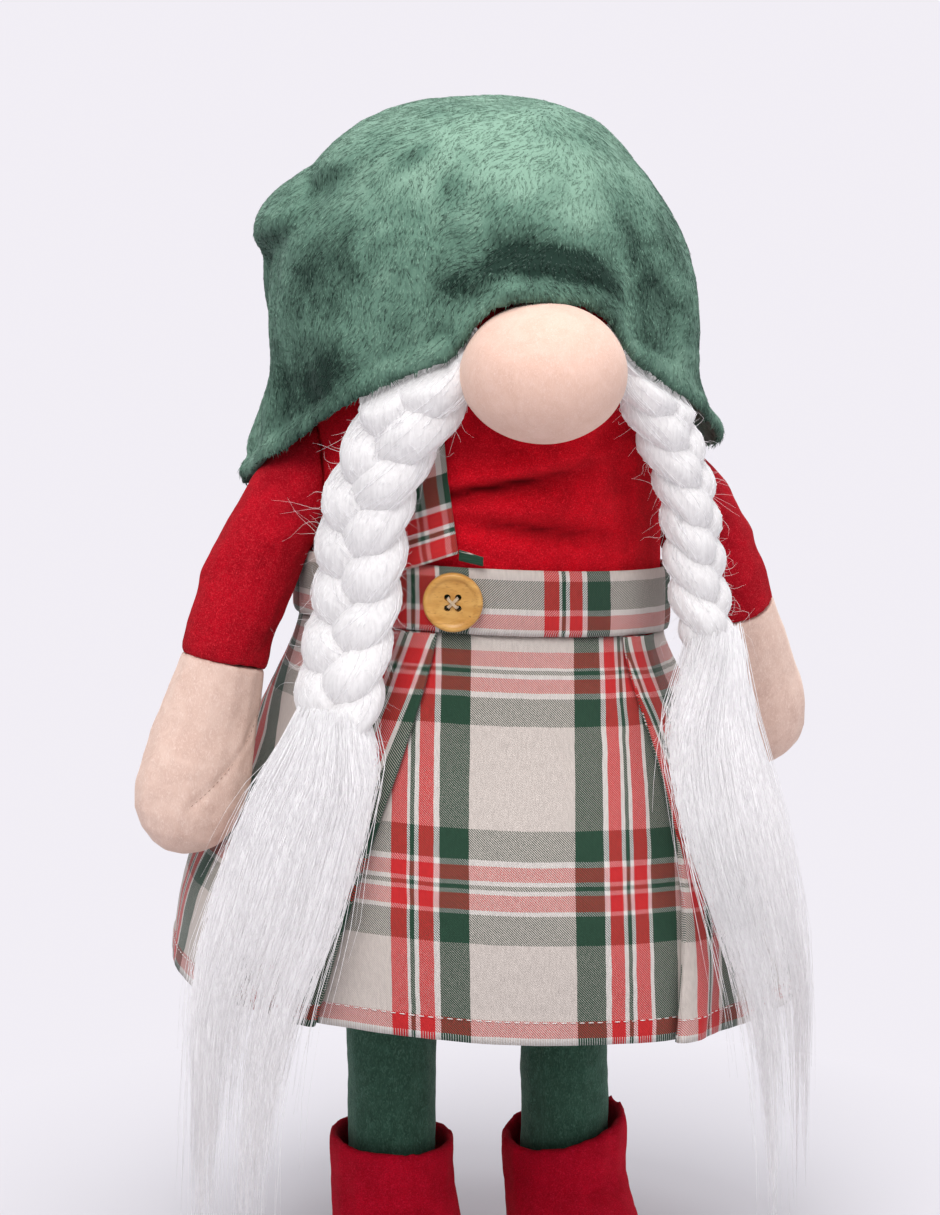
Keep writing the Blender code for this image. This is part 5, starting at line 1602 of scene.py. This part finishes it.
def build_plait(side, seed):
    """One plait: three ridged strands, hairs laid along them, and fuzz that stands off."""
    chance = np.random.default_rng(seed)
    top = PLAIT_ROUTES[side][0][0]
    low = PLAIT_ROUTES[side][-1][0] - 0.001
    heights = np.arange(low, top, STRAND_STEP)
    rows = np.arange(len(heights))
    turns = 2 * math.pi * np.arange(STRAND_CORNERS) / STRAND_CORNERS
    points = []
    faces = []
    paths = []
    radii = []
    tones = []
    for strand in range(3):
        course, beside, front, half_wide, half_deep = strand_course(side, strand, heights)
        ridge = np.zeros((len(heights), STRAND_CORNERS))
        for waves, depth in ((5, 0.024), (8, 0.020), (13, 0.014)):
            drift = chance.uniform(60, 180) * chance.choice([-1, 1])
            ridge += depth * np.sin(waves * turns[None, :] + drift * heights[:, None] + chance.uniform(0, 6.3))
        rings = (course[:, None, :]
                 + beside[:, None, :] * (half_wide[:, None] * np.cos(turns) * (1 + ridge))[..., None]
                 + front[:, None, :] * (half_deep[:, None] * np.sin(turns) * (1 + ridge))[..., None])
        rings = clear_of_clothes(rings)
        start = len(points)
        points.extend(rings.reshape(-1, 3).tolist())
        faces.extend([tuple(start + index for index in face)
                      for face in ring_faces(len(heights), STRAND_CORNERS, True)])
        ends = np.linspace(-1, 1, HAIR_STEPS)
        for _ in range(PLAIT_HAIRS // 3):
            length = chance.uniform(0.012, 0.034)
            first = chance.uniform(low, top - length * 0.6)
            spots = np.linspace(first, min(first + length, top - 0.002), HAIR_STEPS)
            place = (spots - low) / STRAND_STEP
            turn = chance.uniform(0, 2 * math.pi) + chance.normal(0, 0.22) * ends
            lift = 1.00 + chance.uniform(0.0, 0.06) + 0.05 * np.abs(ends) ** 4
            row = np.clip(place, 0, len(heights) - 1)
            at = [np.stack([np.interp(row, rows, part[:, axis]) for axis in range(3)], axis=1)
                  for part in (course, beside, front)]
            wide = np.interp(row, rows, half_wide) * np.cos(turn) * lift
            deep = np.interp(row, rows, half_deep) * np.sin(turn) * lift
            paths.append(at[0] + at[1] * wide[:, None] + at[2] * deep[:, None])
            taper = 1 - 0.85 * np.abs(ends) ** 3
            radii.append(HAIR_RADIUS * chance.uniform(0.7, 1.3) * taper)
            tones.append(chance.uniform(0.3, 1.0))
        for _ in range(FLYAWAYS // 3):
            row = chance.integers(4, len(heights) - 12)
            turn = chance.uniform(0, 2 * math.pi)
            root = (course[row] + beside[row] * half_wide[row] * math.cos(turn)
                    + front[row] * half_deep[row] * math.sin(turn))
            way = beside[row] * math.cos(turn) + 0.5 * front[row] * (math.sin(turn) + 0.4)
            way = way + np.array([0.0, 0.0, chance.uniform(-1.2, 0.5)])
            way /= np.linalg.norm(way)
            curl = chance.normal(0, 1, 3)
            length = chance.uniform(0.004, 0.011) + (chance.random() < 0.10) * chance.uniform(0.003, 0.009)
            share = np.linspace(0, 1, HAIR_STEPS)[:, None]
            path = root + way * length * share + curl * length * 0.38 * share ** 2
            path = path + np.cross(way, curl) * length * 0.10 * np.sin(share * chance.uniform(3, 8))
            paths.append(path)
            radii.append(FLYAWAY_RADIUS * (1 - 0.75 * share[:, 0]))
            tones.append(0.9)
    mesh = bpy.data.meshes.new(f"hair_plait_{side}")
    mesh.from_pydata(points, [], faces)
    set_amounts(mesh, "tone", np.full(len(points), STRAND_TONE))
    plait = turned_out(show(f"hair_plait_{side}", mesh, white_hair))
    plait.data.shade_smooth()
    on_body(plait, "white_hair", f"plait_{side}")
    laid = clear_of_clothes(np.array(paths))
    hairs = tubes(f"plait_hairs_{side}", laid, np.array(radii), loose_hair, 3, tones)
    on_body(turned_out(hairs), "white_hair")


def build_tassel(side, seed):
    """Loose straight hair below the tie: a soft core above, and hairs that gather into wisps."""
    chance = np.random.default_rng(seed)
    stations = TASSELS[side]
    tie = PLAIT_ROUTES[side][-1][0]
    heights = np.linspace(stations[-1][0], stations[0][0], TASSEL_ROWS)
    read = read_stations(stations, heights)
    turn = np.radians(read[:, 0])
    half_wide = read[:, 1]
    half_deep = read[:, 2]
    route_middle, _, _ = route_frames(PLAIT_ROUTES[side], np.clip(heights, tie, None))
    tie_reach = np.hypot(route_middle[:, 0] - AXIS.x, route_middle[:, 1] - AXIS.y)
    angles = np.arctan2(np.sin(turn), np.cos(turn) / BODY_DEPTH_RATIO)
    floor_reach = read_table(clothes_table, angles, heights) + half_deep * 0.9
    reach = np.where(heights > tie - 0.004, np.maximum(tie_reach, floor_reach), floor_reach)
    padded = np.pad(reach, 8, mode="edge")
    reach = np.max([padded[step:step + len(reach)] for step in range(17)], axis=0)
    reach = np.convolve(np.pad(reach, 12, mode="edge"), np.ones(25) / 25, "valid")

    def place(spots, wide, deep):
        """Points of the loose hair at heights, from shares of its half width and half depth."""
        angle = np.interp(spots, heights, turn)
        far = np.interp(spots, heights, reach)
        aside = wide * np.interp(spots, heights, half_wide)
        ahead = deep * np.interp(spots, heights, half_deep) - aside ** 2 / (2 * far)
        x = np.sin(angle) * (far + ahead) + np.cos(angle) * aside
        y = -np.cos(angle) * (far + ahead) + np.sin(angle) * aside
        return clear_of_clothes(np.stack([x, y, spots], axis=-1) + np.array(AXIS))

    # The soft core
    core_low = tie - CORE_LENGTH
    core_heights = np.linspace(core_low, tie + 0.004, CORE_ROWS)
    turns = 2 * math.pi * np.arange(CORE_CORNERS) / CORE_CORNERS
    fade = np.clip((core_heights - core_low) / 0.085, 0, 1) ** 0.6
    ridge = np.zeros((CORE_ROWS, CORE_CORNERS))
    for waves, depth in ((7, 0.05), (11, 0.05), (17, 0.04)):
        ridge += depth * np.sin(waves * turns[None, :] + 30 * core_heights[:, None] + chance.uniform(0, 6.3))
    wide = 0.92 * fade[:, None] * np.cos(turns)[None, :] * (1 + ridge)
    deep = 0.86 * fade[:, None] * np.sin(turns)[None, :] * (1 + ridge)
    rings = place(np.repeat(core_heights[:, None], CORE_CORNERS, axis=1), wide, deep)
    mesh = bpy.data.meshes.new(f"hair_tassel_{side}")
    mesh.from_pydata(rings.reshape(-1, 3).tolist(), [], ring_faces(CORE_ROWS, CORE_CORNERS, True))
    set_amounts(mesh, "tone", np.full(len(mesh.vertices), CORE_TONE))
    core = turned_out(show(f"hair_tassel_{side}", mesh, loose_hair))
    core.data.shade_smooth()
    on_body(core, "white_hair", f"tassel_{side}")

    # The hairs: each belongs to a wisp, which draws it in towards its end
    wisp_turn = chance.uniform(0, 2 * math.pi, WISPS)
    wisp_out = np.sqrt(chance.uniform(0.35, 1.0, WISPS)) * 1.02
    wisp_wide = wisp_out * np.cos(wisp_turn)
    wisp_deep = wisp_out * np.sin(wisp_turn)
    wisp_deep = np.where(chance.random(WISPS) < 0.6, np.abs(wisp_deep), wisp_deep)
    wisp_end = stations[-1][0] + (tie - stations[-1][0]) * (0.06 + 0.80 * chance.beta(2.2, 1.7, WISPS))
    wisp_sway = chance.normal(0, 1, (WISPS, 2))
    member = chance.integers(0, WISPS, TASSEL_HAIRS)
    own_turn = chance.uniform(0, 2 * math.pi, TASSEL_HAIRS)
    own_out = 0.16 + 0.15 * chance.standard_normal(TASSEL_HAIRS)
    first_wide = np.clip(wisp_wide[member] + own_out * np.cos(own_turn) * 1.6, -1.05, 1.05)
    first_deep = np.clip(wisp_deep[member] + own_out * np.sin(own_turn) * 1.6, -1.0, 1.05)
    last_wide = wisp_wide[member] * 1.04 + 0.30 * own_out * np.cos(own_turn)
    last_deep = wisp_deep[member] * 1.05 + 0.25 * own_out * np.sin(own_turn)
    end = wisp_end[member] + chance.normal(0, 0.019, TASSEL_HAIRS)
    loose = chance.random(TASSEL_HAIRS) < STRAY_SHARE
    last_wide = np.where(loose, first_wide * 1.25 + chance.normal(0, 0.22, TASSEL_HAIRS), last_wide)
    end = np.where(loose, end - chance.uniform(0.0, 0.03, TASSEL_HAIRS), end)
    end = np.clip(end, stations[-1][0], tie - 0.03)
    share = np.linspace(0, 1, TASSEL_STEPS)[None, :]
    begin = tie + chance.uniform(0.002, 0.011, TASSEL_HAIRS)
    spots = begin[:, None] + (end - begin)[:, None] * share
    gather = share ** 1.3
    sway = np.sin(share * 5.0 + wisp_sway[member, :1] * 3.0) * share * 0.045 * wisp_sway[member, 1:]
    wave = 0.012 * np.sin(share * 14.0 + own_turn[:, None] * 5.0) * share
    wide = first_wide[:, None] * (1 - gather) + last_wide[:, None] * gather + sway + wave
    deep = first_deep[:, None] * (1 - gather) + last_deep[:, None] * gather
    paths = place(spots, wide, deep)
    thick = HAIR_RADIUS * chance.uniform(0.75, 1.25, TASSEL_HAIRS)
    radii = thick[:, None] * (1.0 - 0.78 * share ** 1.6)
    tones = chance.uniform(0.2, 1.0, TASSEL_HAIRS)
    hairs = tubes(f"tassel_hairs_{side}", paths, radii, loose_hair, 3, tones)
    on_body(turned_out(hairs), "white_hair")


def build_tie(side):
    """A few rounds of wound thread under the hair's end."""
    half_width, half_depth, _ = PLAIT_SIZES[side]
    tie = PLAIT_ROUTES[side][-1][0]
    middle, across, out = route_frames(PLAIT_ROUTES[side], np.array([tie, tie]))
    steps = TIE_TURNS * TIE_CORNERS
    turns = 2 * math.pi * np.arange(steps + 1) / TIE_CORNERS
    rise = np.linspace(-TIE_HALF_LENGTH, TIE_HALF_LENGTH, steps + 1)
    path = (middle[0] + across[0] * (0.55 * half_width * np.cos(turns))[:, None]
            + out[0] * (0.60 * half_depth * np.sin(turns))[:, None])
    path[:, 2] += rise
    radii = np.full((1, steps + 1), TIE_THREAD_RADIUS)
    wound = tubes(f"wound_tie_{side}", clear_of_clothes(path)[None], radii, white_thread, 6)
    on_body(turned_out(wound), "hair_tie", f"hair_tie_{side}")


for number, hair_side in enumerate(PLAIT_ROUTES):
    build_plait(hair_side, PLAIT_SEED + number)
    build_tie(hair_side)
    build_tassel(hair_side, TASSEL_SEED + number)


# Studio
# A plain pale floor and four large soft lights, with an even pale surround. Away from the figure, the
# camera sees the floor in the backdrop's own colour, so that no horizon shows.

FLOOR_HALF_SIZE = 6.0
FLOOR_LIT_REACH = 0.16
FLOOR_SHOWN_REACH = 0.34
BACKDROP = (0.885, 0.858, 0.914)


def soft_light(name, spot, target, size, power):
    """A square soft light that faces a point."""
    lamp = bpy.data.lights.new(name, 'AREA')
    lamp.shape = 'SQUARE'
    lamp.size = size
    lamp.energy = power
    lamp_piece = bpy.data.objects.new(name, lamp)
    spot = Vector(spot)
    lamp_piece.matrix_world = (
        Matrix.Translation(spot) @ (spot - Vector(target)).to_track_quat('Z', 'Y').to_matrix().to_4x4())
    bpy.context.scene.collection.objects.link(lamp_piece)
    return lamp_piece


def camera_only(tree, shown, lit):
    """One value where the camera or a gloss sees the surface, and another where light is gathered."""
    rays = add_node(tree, "ShaderNodeLightPath").outputs
    seen = sums(tree, rays["Is Camera Ray"], 'MAXIMUM', rays["Is Glossy Ray"])
    seen = sums(tree, seen, 'MAXIMUM', rays["Is Transmission Ray"])
    return blend_of(tree, seen, lit, shown)


floor_mesh = bpy.data.meshes.new("floor")
corner = FLOOR_HALF_SIZE
floor_mesh.from_pydata(
    [(-corner, -corner, 0.0), (corner, -corner, 0.0), (corner, corner, 0.0), (-corner, corner, 0.0)],
    [], [(0, 1, 2, 3)])
floor_material, floor_tree, floor_shader = new_material("pale floor", 0.7)
floor_shader.inputs["Base Color"].default_value = (0.60, 0.585, 0.62, 1.0)
floor_place = add_node(floor_tree, "ShaderNodeTexCoord").outputs["Object"]
floor_reach = add_node(floor_tree, "ShaderNodeVectorMath", operation='LENGTH')
floor_tree.links.new(floor_place, floor_reach.inputs[0])
far_off = between(floor_tree, floor_reach.outputs["Value"], FLOOR_LIT_REACH, FLOOR_SHOWN_REACH)
even_floor = add_node(floor_tree, "ShaderNodeEmission")
even_floor.inputs["Color"].default_value = (*BACKDROP, 1.0)
floor_mix = add_node(floor_tree, "ShaderNodeMixShader")
floor_seen = add_node(floor_tree, "ShaderNodeLightPath").outputs["Is Camera Ray"]
floor_tree.links.new(sums(floor_tree, floor_seen, 'MULTIPLY', far_off), floor_mix.inputs[0])
floor_tree.links.new(floor_shader.outputs[0], floor_mix.inputs[1])
floor_tree.links.new(even_floor.outputs[0], floor_mix.inputs[2])
floor_out = floor_tree.nodes["Material Output"]
floor_tree.links.new(floor_mix.outputs[0], floor_out.inputs["Surface"])
floor = show("floor", floor_mesh, floor_material)

world = bpy.data.worlds.new("pale surround")
world.use_nodes = True
bpy.context.scene.world = world
surround = world.node_tree.nodes["Background"]
world.node_tree.links.new(
    camera_only(world.node_tree, BACKDROP, (0.50, 0.50, 0.52)), surround.inputs["Color"])
surround.inputs["Strength"].default_value = 1.0

soft_light("key_light", (-0.7, -1.3, 1.9), (0.0, 0.0, 0.32), 1.0, 30.0)
soft_light("fill_light", (1.5, -1.3, 1.1), (0.0, 0.0, 0.30), 1.2, 9.0)
soft_light("top_light", (0.1, -0.1, 1.7), (0.0, 0.0, 0.40), 0.9, 11.0)
soft_light("back_light", (0.4, 1.3, 1.5), (0.0, 0.0, 0.35), 1.1, 10.0)

bpy.context.scene.view_settings.view_transform = 'Standard'
